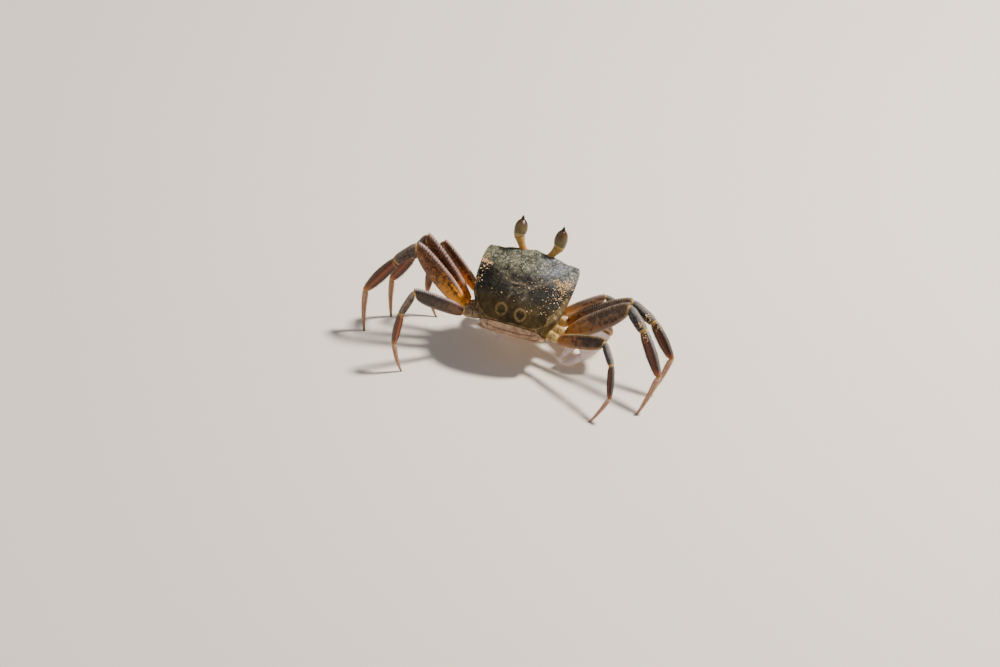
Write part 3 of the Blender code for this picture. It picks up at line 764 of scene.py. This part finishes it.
def thorax():
    """The lower side walls and the belly, creased between the plates of the legs."""
    ahead = np.linspace(0.392, HIND_ROW, 170)[:, None]
    section = Section(ahead)
    rise = (SEAM_HEIGHT - section.belly) / (section.belly_edge - section.belly)
    reach_in = np.sqrt(np.clip(rise, 0.0, 1.0))
    fall = spread(1.0, 20)
    wall_x, wall_z = section.wall(section.seam_share + (1.0 - section.seam_share) * fall)
    cut = np.where(section.belly_edge > SEAM_HEIGHT, section.belly_half * reach_in, 9.0)
    wall_x = np.minimum(wall_x, cut)
    belly_x = section.belly_half * reach_in * np.cos(spread(math.pi, 110))
    lid_x = -wall_x[:, :1] * np.cos(spread(math.pi, 24))
    across = np.concatenate((wall_x, belly_x, -wall_x[:, ::-1], lid_x), axis=1)
    lid_z = np.full_like(lid_x, SEAM_HEIGHT)
    above = np.concatenate((wall_z, section.keel(belly_x), wall_z[:, ::-1], lid_z), axis=1)
    above = np.minimum(above, SEAM_HEIGHT)
    row = np.broadcast_to(ahead, across.shape)
    groove = sum(hump(row, place - 0.15 * abs(across), 0.008) for place in (0.27, 0.15, 0.03, -0.10, -0.22))
    groove = np.clip(groove * ease(abs(across), 0.06, 0.12), 0.0, 1.0)
    groove = groove * ease(above, SEAM_HEIGHT, SEAM_HEIGHT - 0.03)
    # The frame round the mouth plates is darkened in the thorax finish as painted shade, and the skin sinks a
    # little there.
    mouth_edge = hump(abs(across), 0.185 + 0.25 * (above + 0.34), 0.010) * ease(row, 0.28, 0.33)
    groove = np.maximum(groove, mouth_edge)
    above = above + 0.010 * groove
    forward = np.maximum(row, rear_plane(above) + HALF_GAP)
    skin("thorax", body_place(across, forward, above), "thorax", {"groove": groove})


def tail():
    """The rear wall of the body, from the cut back to the hindmost section, then rounded off.
    Its cross creases are the ends of the tail's own segments."""
    over, down, under = 70, 24, 70
    rear = BODY_STATIONS[-1, 0]
    turn = spread(math.pi, over)
    fall = spread(1.0, down)
    zone = np.repeat((0, 1, 2, 3), (over, down, under, down))
    along = np.concatenate((turn, fall, turn, np.linspace(1.0, 0.0, down, endpoint=False)))

    def outline(ahead):
        section = Section(ahead)
        swing = np.cos(along)
        wall_x, wall_z = section.wall(np.clip(along, 0.0, 1.0))
        belly_x = section.belly_half * swing
        back_z = section.margin + (section.ridge - section.margin) * (1.0 - swing ** 2)
        return (np.choose(zone, (-section.half * swing, wall_x, belly_x, -wall_x)),
                np.choose(zone, (back_z, wall_z, section.keel(belly_x), wall_z)))

    front = np.full(len(zone), -0.35)
    for _ in range(30):
        front = np.clip(rear_plane(outline(front)[1]) - HALF_GAP, rear, -0.28)
    row = front + (rear - front) * np.linspace(0.0, 1.0, 50)[:, None]
    across, above = np.stack([outline(line) for line in row], axis=1)
    bend = np.linspace(0.0, 0.5 * math.pi, 14)[1:, None]
    shrink = 1.0 - 0.92 * (1.0 - np.cos(bend))
    middle_x, middle_z = across[-1].mean(), above[-1].mean()
    across = np.concatenate((across, middle_x + (across[-1:] - middle_x) * shrink))
    above = np.concatenate((above, middle_z + (above[-1:] - middle_z) * shrink))
    row = np.concatenate((row, rear - 0.004 * np.sin(bend) * np.ones(len(zone))))
    groove = sum(hump(above, place + 0.06 * across ** 2, 0.005) for place in (-0.135, -0.185, -0.235))
    for side in (-1.0, 1.0):
        groove = groove + 0.8 * hump(across, side * (0.22 + 0.3 * (above + 0.15)), 0.006)
    groove = np.clip(groove, 0.0, 1.0) * ease(row, -0.36, -0.39)
    skin("tail", body_place(across, row + 0.006 * groove, above), "tail", {"groove": groove})


def tail_flap():
    """The tail folded under the belly: half-width from a smooth outline, a low pillow section
    (x is half-width times cos, drop is thickness times sin), creased between segments."""
    ahead = np.linspace(-0.33, 0.20, 110)[:, None]
    outline = ((-0.33, 0.20), (-0.24, 0.19), (-0.10, 0.185), (0.02, 0.155), (0.12, 0.10),
               (0.17, 0.055), (0.20, 0.004))
    half = smooth_through(*np.array(outline).T, ahead)
    turn = spread(TURN, 90)
    across = half * np.cos(turn)
    row = np.broadcast_to(ahead, across.shape)
    groove = sum(hump(row, place + 0.2 * across ** 2, 0.006) for place in (-0.26, -0.18, -0.10, -0.02, 0.07))
    drop = 0.015 * ease(half, 0.0, 0.08) * (1.0 - 0.45 * groove) * np.sin(turn)
    above = Section(ahead).keel(across) - np.maximum(drop, 0.3 * drop)
    piece("tail_flap", tube(body_place(across, row, above)), FINISH["thorax"], (),
          {"groove": pole_values(np.clip(groove, 0.0, 1.0))})


def mouthparts():
    """Two mouth plates, each a rounded block: every direction cosine to the power BLOCKY times
    the half-size, with a crease across and one along each plate."""
    slope = unit(NOSE * 0.80 - CROWN * 0.60)
    rise = unit(np.cross(SIDE, slope))
    rise = rise * np.sign(rise.dot(CROWN))
    lift = np.linspace(-0.5 * math.pi, 0.5 * math.pi, 60)[:, None]
    turn = spread(TURN, 72)
    shapes = []
    creases = []
    x = power(np.cos(lift), BLOCKY) * power(np.cos(turn), BLOCKY)
    z = power(np.sin(lift), BLOCKY) * np.ones_like(x)
    for sign in (-1.0, 1.0):
        crease = np.clip(hump(z, 0.28 - 0.1 * x, 0.05) + 0.7 * hump(x * sign, -0.35, 0.08), 0.0, 1.0)
        y = power(np.cos(lift), BLOCKY) * power(np.sin(turn), BLOCKY) * (1.0 - 0.16 * crease)
        # Darker towards the plates' side edges: painted shade where they meet the face.
        crease = np.maximum(crease, 0.8 * ease(abs(x), 0.86, 1.0))
        place = (SIDE * (sign * 0.088 + x * (0.084 + 0.012 * z))[..., None] + slope * (y * 0.034)[..., None]
                 + rise * (z * 0.105)[..., None]) * WIDTH
        shapes.append(tube(body_place(0.0, 0.355, -0.335) + place))
        creases.append(pole_values(crease))
    piece("mouth_plates", joined(shapes), FINISH["mouthparts"], ("mouthparts",),
          {"groove": np.concatenate(creases)})


# Limbs -------------------------------------------------------------------------------------
class Segment:
    """A flattened limb segment between two points: slightly square ellipses whose half-breadth,
    half-thickness and bow follow the profile, crowded and rounded over at both ends, and
    slanted near an end into that joint's plane. Edge runs from -1 to 1 across its breadth."""

    def __init__(self, start, end, flat, profile, girth, near, far, rows, around, relief, round_off):
        length = np.linalg.norm(end - start)
        axis = unit(end - start)
        flat = unit(flat - axis * flat.dot(axis))
        broad = np.cross(flat, axis)
        table = np.array(profile)
        t = np.linspace(0.0, 1.0, rows)
        t = 0.6 * t + 0.4 * (0.5 - 0.5 * np.cos(math.pi * t))
        share = table[0, 0] + (table[-1, 0] - table[0, 0]) * t
        u, angle = np.meshgrid(t, (np.arange(around) + 0.5) / around * TURN, indexing="ij")
        x = np.cos(angle)
        y = np.sin(angle)
        closing = 1.0 - np.clip(np.stack((t, 1.0 - t)) / round_off, 0.0, 1.0)
        rounded = np.sqrt(np.prod(1.0 - closing ** 2, axis=0))[:, None]
        breadth, thickness, bow = (smooth_through(table[:, 0], table[:, n], share)[:, None] * girth * MM
                                   for n in (1, 2, 3))
        across, through, groove = relief(u, power(x, 0.92), power(y, 0.88))
        offset = broad * (across * breadth * rounded)[..., None]
        offset = offset + flat * (through * thickness * rounded)[..., None]
        near_weight = np.clip(1.0 - share / SLANTED, 0.0, 1.0) / axis.dot(near)
        far_weight = np.clip(1.0 - (1.0 - share) / SLANTED, 0.0, 1.0) / axis.dot(far)
        inset = GAP / 2.0 * (near_weight - far_weight)
        slant = near_weight[:, None] * (offset @ near) + far_weight[:, None] * (offset @ far)
        self.axis = axis
        self.centre = start + axis * (length * share + inset)[:, None] + broad * bow
        self.rings = self.centre[:, None] + offset - axis * slant[..., None]
        self.rings[..., 2] = np.maximum(self.rings[..., 2], 0.0)
        self.marks = {"along": u, "edge": x, "groove": groove}

    def pick(self, dice, low, high, count, middle, width):
        """Random points of the skin, even between two shares of the length and normal about a
        share of the way round: their rows, their columns, the points, and the ways outward."""
        rows, around = self.rings.shape[:2]
        i = np.searchsorted(self.marks["along"][:, 0], dice.uniform(low, high, count)).clip(1, rows - 2)
        j = np.round(dice.normal(middle, width, count) * around).astype(int) % around
        return i, j, self.rings[i, j], unit(self.rings[i, j] - self.centre[i])


def toothed(u, count):
    """Rounded teeth along the length: the sine of count turns, sharpened, from 0 to 1."""
    return (0.5 + 0.5 * np.sin(u * count * TURN)) ** 1.5


def plain_relief(u, x, y):
    """No relief: the plain ellipse."""
    return x, y, np.zeros_like(x)


def merus_relief(u, x, y):
    """A groove below the toothed upper margin, and a keel along the lower one."""
    upper = hump(x, 0.70, 0.10)
    lower = hump(x, -0.78, 0.08)
    body = ease(u, 0.08, 0.2) * ease(u, 0.97, 0.88)
    margin = ease(x, 0.72, 0.98) * body
    teeth = toothed(u, MERUS_TEETH)
    low_teeth = toothed(u, MERUS_TEETH * 1.4) * ease(-x, 0.8, 0.98) * body
    across = x * (1.0 + 0.016 * margin * teeth - 0.005 * margin + 0.005 * low_teeth)
    through = y * (1.0 - (0.17 * upper + 0.12 * lower) * body + 0.08 * margin * teeth)
    return across, through, np.clip((upper + lower) * body, 0.0, 1.0)


def carpus_relief(u, x, y):
    """Two low ridges along each face and a finely toothed upper margin."""
    body = ease(u, 0.06, 0.2) * ease(u, 0.95, 0.85)
    ridges = (hump(x, 0.35, 0.12) + hump(x, -0.35, 0.12)) * body
    margin = ease(x, 0.8, 1.0) * body
    return x * (1.0 + 0.03 * margin * toothed(u, 12)), y * (0.95 + 0.09 * ridges), body - body * ridges


def propodus_relief(u, x, y):
    """A ridge along the middle of each face between two shallow grooves."""
    body = ease(u, 0.04, 0.15) * ease(u, 0.98, 0.88)
    grooves = (hump(x, 0.45, 0.13) + hump(x, -0.45, 0.13)) * body
    margin = ease(abs(x), 0.85, 1.0) * body
    return x * (1.0 + 0.02 * margin * toothed(u, 18)), y * (1.0 - 0.16 * grooves), grooves


def dactyl_relief(u, x, y):
    """Six flutes along the toe, where the cosine of six turns rises."""
    angle = np.arctan2(y, x)
    flutes = (0.5 + 0.5 * np.cos(6.0 * angle)) ** 2 * ease(u, 0.05, 0.15) * ease(u, 0.95, 0.8)
    return x * (1.0 - 0.13 * flutes), y * (1.0 - 0.13 * flutes), flutes


def hip_relief(u, x, y):
    """A crease right round where the hip's two short segments meet, and a pit on each face."""
    crease = np.clip(hump(u, 0.62, 0.03) + 0.8 * hump(u, 0.78, 0.07) * hump(x, 0.35, 0.22), 0.0, 1.0)
    return x * (1.0 - 0.08 * crease), y * (1.0 - 0.12 * crease), crease


def claw_relief(u, x, y):
    """Low tubercles in rows along both edges."""
    edge = ease(abs(x), 0.7, 1.0) * ease(u, 0.08, 0.2) * ease(u, 0.95, 0.85)
    return x * (1.0 + 0.03 * edge * toothed(u, 11)), y * (1.0 + 0.04 * edge), np.zeros_like(x)


def hand_relief(u, x, y):
    """Toothed biting edge on the fixed finger and a row of tubercles on the outer edge."""
    bite = ease(-x, 0.4, 1.0) * ease(u, 0.60, 0.64) * ease(u, 0.99, 0.93)
    outer = ease(x, 0.8, 1.0) * ease(u, 0.06, 0.15) * ease(u, 0.9, 0.8)
    across = x * (1.0 + 0.22 * bite * toothed(u, 30) + 0.02 * outer * toothed(u, 24))
    return across, y * (1.0 - 0.25 * bite), hump(u, 0.61, 0.02) * 0.5


def thumb_relief(u, x, y):
    """Toothed biting edge along the inner side of the moving finger."""
    bite = ease(x, 0.4, 1.0) * ease(u, 0.12, 0.2) * ease(u, 0.97, 0.85)
    return x * (1.0 + 0.22 * bite * toothed(u, 12)), y * (1.0 - 0.25 * bite), hump(u, 0.08, 0.03)


def membrane(at, normal, flat, breadth, thickness, girth):
    """Soft skin inside a joint: rings square to the joint, widest in the middle by a cosine."""
    flat = unit(flat - normal * flat.dot(normal))
    broad = np.cross(flat, normal)
    t = np.linspace(-1.0, 1.0, 15)
    swell = 0.97 * np.cos(t * 1.1) ** 0.4 * girth * MM
    turn = spread(TURN, 32)
    ring = broad * (np.cos(turn) * breadth)[:, None] + flat * (np.sin(turn) * thickness)[:, None]
    return tube(at + normal * (t * 0.8 * MM * girth)[:, None, None] + ring * swell[:, None, None])


def limb(points, flat, parts, joints):
    """The segments of a chain of points and the soft skin inside its joints. A part or a joint
    starts with its point's number, and a joint's plane halves the chain's bend there."""
    runs = unit(np.diff(points, axis=0))
    planes = [runs[0], *unit(runs[:-1] + runs[1:]), runs[-1]]
    segments = []
    for i, node, look, slot, profile, girth, rows, around, relief, round_off in parts:
        segment = Segment(points[i], points[i + 1], flat, profile, girth, planes[i], planes[i + 1], rows,
                          around, relief, round_off)
        skin(node, segment.rings, look, segment.marks)
        segments.append(segment)
    for i, breadth, thickness, girth in joints:
        MEMBRANES.append(membrane(points[i], planes[i], flat, breadth, thickness, girth))
    return segments


def leg_chain(key):
    """Inner and outer end of the hip, and then each point is the last one plus the segment's
    length along out cos slope + lift sin slope; the toe's slope is the one that brings its tip
    to the floor."""
    number = int(key[1]) - 1
    sign = 1.0 if key[0] == "r" else -1.0
    swing, merus_share, angles = STANCE[key]
    across, ahead, above = np.add(LEG_BASES[number], swing)
    half, share, drop = HIP_ANCHOR
    heading, lean, *slopes = (math.radians(value) for value in angles)
    out = RIGHT * (sign * math.cos(heading)) + FORWARD * math.sin(heading)
    lift = UP * math.cos(lean) + np.cross(out, UP) * math.sin(lean)
    points = [body_place(sign * half, ahead * share, above + drop), body_place(sign * across, ahead, above)]
    lengths = [length * WIDTH for length in LEG_LENGTHS[number]]
    lengths[0] *= merus_share
    for length, slope in zip(lengths, slopes):
        points.append(points[-1] + (out * math.cos(slope) + lift * math.sin(slope)) * length)
    last = math.asin(min(1.0, points[-1][2] / (lift[2] * lengths[3]))) - math.pi
    points.append(points[-1] + (out * math.cos(last) + lift * math.sin(last)) * lengths[3])
    return points, np.cross(out, lift)


def leg(key):
    """The five segments of a walking leg, with places on it for bristles and sand: a segment,
    two shares of its length, and then a share round and a length, or a count."""
    number = int(key[1]) - 1
    girth = LEG_GIRTHS[number]
    hip_girth = 0.80 if number < 3 else 0.72
    points, flat = leg_chain(key)
    hand = {"l": "_left", "r": "_right"}[key[0]]
    side = {"r1": "_first_right", "l4": "_rear_left", "r4": "_rear_right"}.get(key, hand)
    parts = (
        ("hip", hand, HIP, hip_girth, 80, 48, hip_relief, 0.05),
        ("merus", side, MERUS_REAR if number == 3 else MERUS, girth, 300, 64, merus_relief, 0.02),
        ("carpus", hand, CARPUS, girth, 110, 56, carpus_relief, 0.035),
        ("propodus", hand, PROPODUS, girth, 150, 56, propodus_relief, 0.025),
        ("dactyl", hand, DACTYL, 0.4 + 0.6 * girth, 140, 48, dactyl_relief, 0.03),
    )
    rows = [(i, "leg_" + key + "_" + part, part + look, "leg_" + part, *shape)
            for i, (part, look, *shape) in enumerate(parts)]
    joints = ((1, 1.9, 1.4, hip_girth), (2, 1.85, 1.5, girth), (3, 1.9, 1.35, girth), (4, 1.25, 0.95, girth))
    carpus, propodus, toe = limb(points, flat, rows, joints)[2:]
    BRISTLES.append((propodus, 0.1, 0.95, 0.5, 0.9 * girth))
    BRISTLES.append((propodus, 0.1, 0.9, 0.0, 0.5 * girth))
    BRISTLES.append((toe, 0.05, 0.75, 0.0, 0.6 * girth))
    BRISTLES.append((toe, 0.05, 0.75, 0.5, 0.6 * girth))
    if key in ("r2", "r3"):
        DUSTED.append((carpus, 0.62, 0.9, 46))
        DUSTED.append((propodus, 0.02, 0.25, 26))


def claw(key):
    """Hip, arm and wrist, and the hand whose moving thumb starts past half its length."""
    plan = CLAWS[key]
    girth = plan["girth"]
    hand = plan["hand_girth"]
    points = [reach(plan[part]) + SHIFT for part in ("hip", "arm", "wrist", "hand", "tip")]
    flat = np.cross(unit(points[4] - points[3]), unit(reach(plan["edge"])))
    parts = (
        (0, "hip", "claw_hip", CLAW_HIP, girth, 60, hip_relief),
        (1, "arm", "claw_arm", CLAW_ARM, girth, 120, claw_relief),
        (2, "wrist", "claw_arm", CLAW_WRIST, girth, 80, claw_relief),
        (3, "hand", "claw_hand", CLAW_HAND, hand, 200, hand_relief),
        (3, "thumb", "claw_hand", CLAW_THUMB, hand, 130, thumb_relief),
    )
    rows = [(i, key + "_" + part, look, "claw_" + part, profile, size, count, 64, relief, 0.04)
            for i, part, look, profile, size, count, relief in parts]
    limb(points, flat, rows, ((1, 2.5, 2.1, girth), (2, 2.9, 2.4, girth), (3, 2.7, 2.3, hand)))


def eye(name, sign):
    """Stalk, oval eye and horn, end to end, all round in section."""
    across, ahead, above = EYE_BASE
    points = [body_place(across * sign, ahead, above)]
    for step in EYE_REACH[name]:
        points.append(points[-1] + reach(step))
    parts = (("eyestalk", STALK, 70, 48, 0.02), ("cornea", GLOBE, 90, 64, 0.02), ("horn", HORN, 50, 32, 0.08))
    rows = []
    for i, (part, radii, count, around, round_off) in enumerate(parts):
        profile = [(share, radius, radius, 0.0) for share, radius in radii]
        rows.append((i, part + "_" + name, part, part, profile, 1.0, count, around, plain_relief, round_off))
    limb(points, SIDE, rows, ((1, 2.2, 2.2, 1.0), (0, 1.75, 1.75, 1.0)))


# Small things ------------------------------------------------------------------------------
def repeated(name, points, quads, triangles, look, dice, patches=None):
    """One piece of many small shapes, from the points of each and the faces of the first, with
    a random value of the mark pick for each."""
    count, size = points.shape[:2]
    base = (np.arange(count) * size)[:, None, None]
    shape = (points.reshape(-1, 3), (quads + base).reshape(-1, 4), (triangles + base).reshape(-1, 3))
    pick = np.repeat(dice.uniform(0.0, 1.0, count), size)
    return piece(name, shape, FINISH[look], (), {"pick": pick}, patches)


def bristles():
    """Fine bristles on limb segments. Each is three rings of three points and a tip ring: it
    starts on the segment's skin, leans from the outward direction towards the tip of the limb,
    and thins. Its patch on OFBake lies at its root's share along and round."""
    dice = np.random.default_rng(3)
    groups = []
    for number, (segment, low, high, middle, length) in enumerate(BRISTLES):
        count = int(46 + 30 * length)
        i, j, root, out = segment.pick(dice, low, high, count, middle, 0.22 / TURN)
        shares = np.stack((i, j), -1) / segment.rings.shape[:2]
        cell = np.array((number % 8, number // 8))
        groups.append((root, out, np.broadcast_to(segment.axis, root.shape),
                       dice.uniform(0.6, 1.0, count) * length * MM, (cell + 0.1 + 0.8 * shares) / 8.0))
    root, out, axis, length, spot = (np.concatenate(group) for group in zip(*groups))
    count = len(root)
    wander = unit(dice.normal(size=(count, 3))) * 0.25
    aim = unit(out + 0.9 * axis + wander)
    t = np.array((0.0, 0.4, 0.75, 1.0))[:, None]
    spine = root[:, None] + length[:, None, None] * (aim[:, None] * t + 0.35 * axis[:, None] * t ** 2)
    first = unit(np.cross(aim, wander + 1e-6))
    second = np.cross(aim, first)
    turn = (np.arange(3) / 3.0 * TURN)[:, None]
    ring = first[:, None] * np.cos(turn) + second[:, None] * np.sin(turn)
    width = 0.045 * MM * np.array((1.0, 0.75, 0.4, 0.06))
    points = spine[:, :, None] + ring[:, None] * width[:, None, None]
    points[..., 2] = np.maximum(points[..., 2], 0.00002)
    i, j = np.meshgrid(np.arange(3), np.arange(3), indexing="ij")
    k = (j + 1) % 3
    quads = np.stack((i * 3 + j, i * 3 + k, i * 3 + 3 + k, i * 3 + 3 + j), -1).reshape(-1, 4)
    grid = np.stack(np.meshgrid(np.arange(4) / 3.0, np.arange(3) / 2.0, indexing="ij"), -1).reshape(-1, 2)
    patches = spot[:, None] + (grid - 0.5) * 0.003
    repeated("leg_bristles", points.reshape(-1, 12, 3), quads, np.array(((2, 1, 0), (9, 10, 11))), "bristles",
             dice, patches.reshape(-1, 2))


def grains(name, place, normal, seed):
    """Sand grains stuck to the shell: a stone of two pentagons and two points, each with its
    own size, turn and squash, sunk a third of its height."""
    dice = np.random.default_rng(seed)
    count = len(place)
    corner = np.arange(5) / 5.0 * TURN
    low = np.stack((np.cos(corner), np.sin(corner), np.full(5, -0.45)), -1)
    high = np.stack((np.cos(corner + 0.6), np.sin(corner + 0.6), np.full(5, 0.45)), -1)
    stone = np.concatenate((low, high, ((0, 0, -0.95), (0, 0, 0.95))))
    lumps = stone * dice.uniform(0.7, 1.2, (count, 12, 1))
    lumps = lumps * dice.uniform(0.6, 1.15, (count, 1, 3))
    size = 0.00009 + 0.00019 * dice.uniform(0.0, 1.0, count) ** 2
    first = unit(np.cross(normal, unit(dice.normal(size=(count, 3)))))
    turned = lumps @ np.stack((first, np.cross(normal, first), normal), axis=1)
    points = place[:, None] + (turned + 0.3 * normal[:, None]) * size[:, None, None]
    j = np.arange(5)
    k = (j + 1) % 5
    faces = np.concatenate([np.stack(corners, -1) for corners in (
        (j, k, j + 5), (k, k + 5, j + 5), (k, j, np.full(5, 10)), (j + 5, k + 5, np.full(5, 11)))])
    made = repeated(name, points, np.zeros((0, 4), int), faces, "sand", dice)
    made.data.polygons.foreach_set("use_smooth", np.zeros(len(made.data.polygons), bool))


def sand_on_back():
    """Grains in drifts on the shoulders and right half. Each drift is a bell-shaped scatter:
    its middle across and ahead, its spread across and ahead, and its count."""
    dice = np.random.default_rng(7)
    drifts = (
        (-0.466, 0.212, 0.015, 0.013, 56), (-0.435, 0.200, 0.018, 0.009, 56),
        (-0.395, 0.186, 0.020, 0.008, 40), (-0.445, 0.235, 0.025, 0.030, 26),
        (-0.44, 0.12, 0.030, 0.040, 40), (-0.455, 0.00, 0.022, 0.025, 30),
        (0.435, 0.19, 0.026, 0.040, 130), (0.375, 0.155, 0.035, 0.030, 90),
        (0.31, 0.165, 0.022, 0.016, 34), (0.40, 0.07, 0.040, 0.050, 110),
        (0.34, 0.00, 0.060, 0.060, 50), (0.14, 0.07, 0.060, 0.060, 46),
        (0.30, -0.19, 0.080, 0.040, 30), (0.0, 0.05, 0.250, 0.150, 46),
    )
    across = np.concatenate([dice.normal(x, wide, count) for x, _, wide, _, count in drifts])
    ahead = np.concatenate([dice.normal(y, long, count) for _, y, _, long, count in drifts])
    fits = (abs(across) < column(1, ahead) - 0.004) & (ahead > -0.36) & (ahead < 0.42)
    across, ahead = across[fits], ahead[fits]
    step = 0.002
    place = body_place(across, ahead, back_height(across, ahead))
    along = body_place(across, ahead + step, back_height(across, ahead + step)) - place
    aside = body_place(across + step, ahead, back_height(across + step, ahead)) - place
    normal = unit(np.cross(aside, along))
    normal = normal * np.sign(normal @ CROWN)[:, None]
    grains("back_sand", place, normal, 8)


def sand_on_legs():
    """Grains scattered over the upper side of two legs."""
    dice = np.random.default_rng(11)
    picked = [segment.pick(dice, low, high, count, 0.14, 0.10) for segment, low, high, count in DUSTED]
    place, normal = (np.concatenate([group[n] for group in picked]) for n in (2, 3))
    grains("leg_sand", place, normal, 12)


def floor():
    """A square with its middle under the crab."""
    mesh = bpy.data.meshes.new("floor")
    mesh.from_pydata([(-6.0, -6.0, 0.0), (6.0, -6.0, 0.0), (6.0, 6.0, 0.0), (-6.0, 6.0, 0.0)], [],
                     [(0, 1, 2, 3)])
    made = bpy.data.objects.new("floor", mesh)
    bpy.context.collection.objects.link(made)
    paint = Paint("floor_matt")
    cloud = paint.noise(0.4, 2.0, 0.5)
    paint.base(cloud, (226, 216, 202), (232, 223, 210))
    made.data.materials.append(paint.finish(0.85, cloud, 0.0001))


def soft_light(name, direction, distance, size, power, colour):
    """A square lamp at a distance in a direction from the crab, facing it."""
    data = bpy.data.lights.new(name, "AREA")
    data.size = size
    data.energy = power
    data.color = colour
    lamp = bpy.data.objects.new(name, data)
    lamp.location = unit(reach(direction)) * distance
    lamp.rotation_euler = (-lamp.location).to_track_quat("-Z", "Y").to_euler()
    bpy.context.collection.objects.link(lamp)


def studio():
    """Pale floor, cool dim sky, a small warm key light and a wide faint fill."""
    floor()
    world = bpy.data.worlds.new("studio")
    world.use_nodes = True
    world.node_tree.nodes["Background"].inputs[0].default_value = (0.86, 0.90, 1.0, 1.0)
    world.node_tree.nodes["Background"].inputs[1].default_value = 0.24
    bpy.context.scene.world = world
    soft_light("key", (0.44, 0.35, 0.83), 1.2, 0.15, 33.0, (1.0, 0.94, 0.86))
    soft_light("fill", (-0.7, -0.6, 0.7), 1.3, 0.8, 2.2, (0.92, 0.95, 1.0))


def camera():
    """Long lens from behind, above and a little to the crab's right."""
    data = bpy.data.cameras.new("view")
    data.lens = 220.0
    data.sensor_width = 36.0
    data.clip_end = 30.0
    made = bpy.data.objects.new("view", data)
    made.location = CAMERA_PLACE
    aim = made.location.copy()
    aim[:] = CAMERA_AIM
    made.rotation_euler = (aim - made.location).to_track_quat("-Z", "Y").to_euler()
    bpy.context.collection.objects.link(made)
    bpy.context.scene.camera = made


FINISH = {
    "carapace": carapace_finish(),
    "thorax": shell_finish("thorax_shell", (214, 196, 160), (182, 156, 114), (122, 94, 64)),
    "tail": shell_finish("tail_shell", (182, 150, 120), (138, 106, 80), (80, 58, 42)),
    "mouthparts": shell_finish("mouth_shell", (222, 206, 174), (190, 164, 124), (118, 92, 64)),
    "hip_left": shell_finish("hip_grey", (168, 142, 112), (128, 98, 66), (56, 38, 26), 0.002),
    "hip_right": shell_finish("hip_cream", (204, 172, 104), (164, 132, 78), (92, 68, 40), 0.002),
    # The left meri's saturated yellow-orange base is partly their own amber and partly painted glow of light
    # shining through them.
    "merus_left": merus_finish("merus_banded", (172, 142, 134), (58, 40, 36), (244, 160, 12),
                               (170, 102, 38), (56, 28, 12), 0.80, (72, 48, 36), 0.25),
    "merus_right": merus_finish("merus_dusky", (158, 138, 116), (30, 23, 20), (168, 106, 36),
                                (132, 98, 68), (46, 29, 20), 0.80, (136, 112, 98), 0.05),
    "merus_first_right": merus_finish("merus_pale", (196, 172, 164), (128, 106, 102),
                                      (226, 160, 66), (206, 170, 140), (130, 84, 56), 0.0,
                                      (222, 154, 58), 0.2),
    "merus_rear_left": merus_finish("merus_umber", (176, 158, 154), (28, 20, 18), (96, 62, 38),
                                    (60, 40, 30), (24, 16, 13), 0.85, (112, 92, 80), 0.03),
    "merus_rear_right": merus_finish("merus_speckled", (170, 148, 108), (36, 28, 22),
                                     (160, 100, 42), (100, 66, 40), (32, 20, 13), 0.90,
                                     (146, 106, 64), 0.04),
    "carpus_left": carpus_finish("carpus_slate", (86, 70, 60), (150, 132, 118), (46, 32, 26)),
    "carpus_right": carpus_finish("carpus_blue", (74, 72, 74), (132, 126, 116), (34, 27, 25)),
    "propodus_left": propodus_finish("propodus_red", (104, 82, 72), (134, 66, 28), (84, 42, 22),
                                     (186, 114, 54)),
    "propodus_right": propodus_finish("propodus_dark", (86, 78, 76), (106, 50, 24),
                                      (58, 29, 17), (160, 96, 58)),
    "dactyl_left": dactyl_finish("dactyl_brown", (180, 138, 106), (118, 78, 54), (58, 40, 32)),
    "dactyl_right": dactyl_finish("dactyl_pale", (206, 164, 138), (150, 106, 80), (72, 50, 42)),
    "claw_hip": shell_finish("claw_hip", (214, 188, 150), (186, 148, 104), (130, 94, 66)),
    "claw_arm": shell_finish("claw_arm", (212, 182, 158), (186, 146, 116), (140, 100, 78)),
    "claw_hand": shell_finish("claw_hand", (232, 216, 214), (214, 190, 190), (180, 150, 148),
                              0.004, 0.06),
    "membrane": shell_finish("joint_skin", (196, 160, 92), (160, 122, 62), (112, 78, 40), 0.0012),
    "eyestalk": stalk_finish(),
    "cornea": cornea_finish(),
    "horn": horn_finish(),
    "sand": sand_finish(),
    "bristles": bristle_finish(),
}

# Filled limb by limb: meshes of joint skin, and places of bristles and of sand grains
MEMBRANES = []
BRISTLES = []
DUSTED = []

studio()
camera()
carapace()
thorax()
tail()
tail_flap()
mouthparts()
for eye_name, eye_sign in (("r", 1.0), ("l", -1.0)):
    eye(eye_name, eye_sign)
for leg_key in STANCE:
    leg(leg_key)
for claw_key in CLAWS:
    claw(claw_key)
membranes = joined(MEMBRANES)
piece("joint_skin", membranes, FINISH["membrane"], (), {"groove": np.zeros(len(membranes[0]))})
bristles()
sand_on_back()
sand_on_legs()
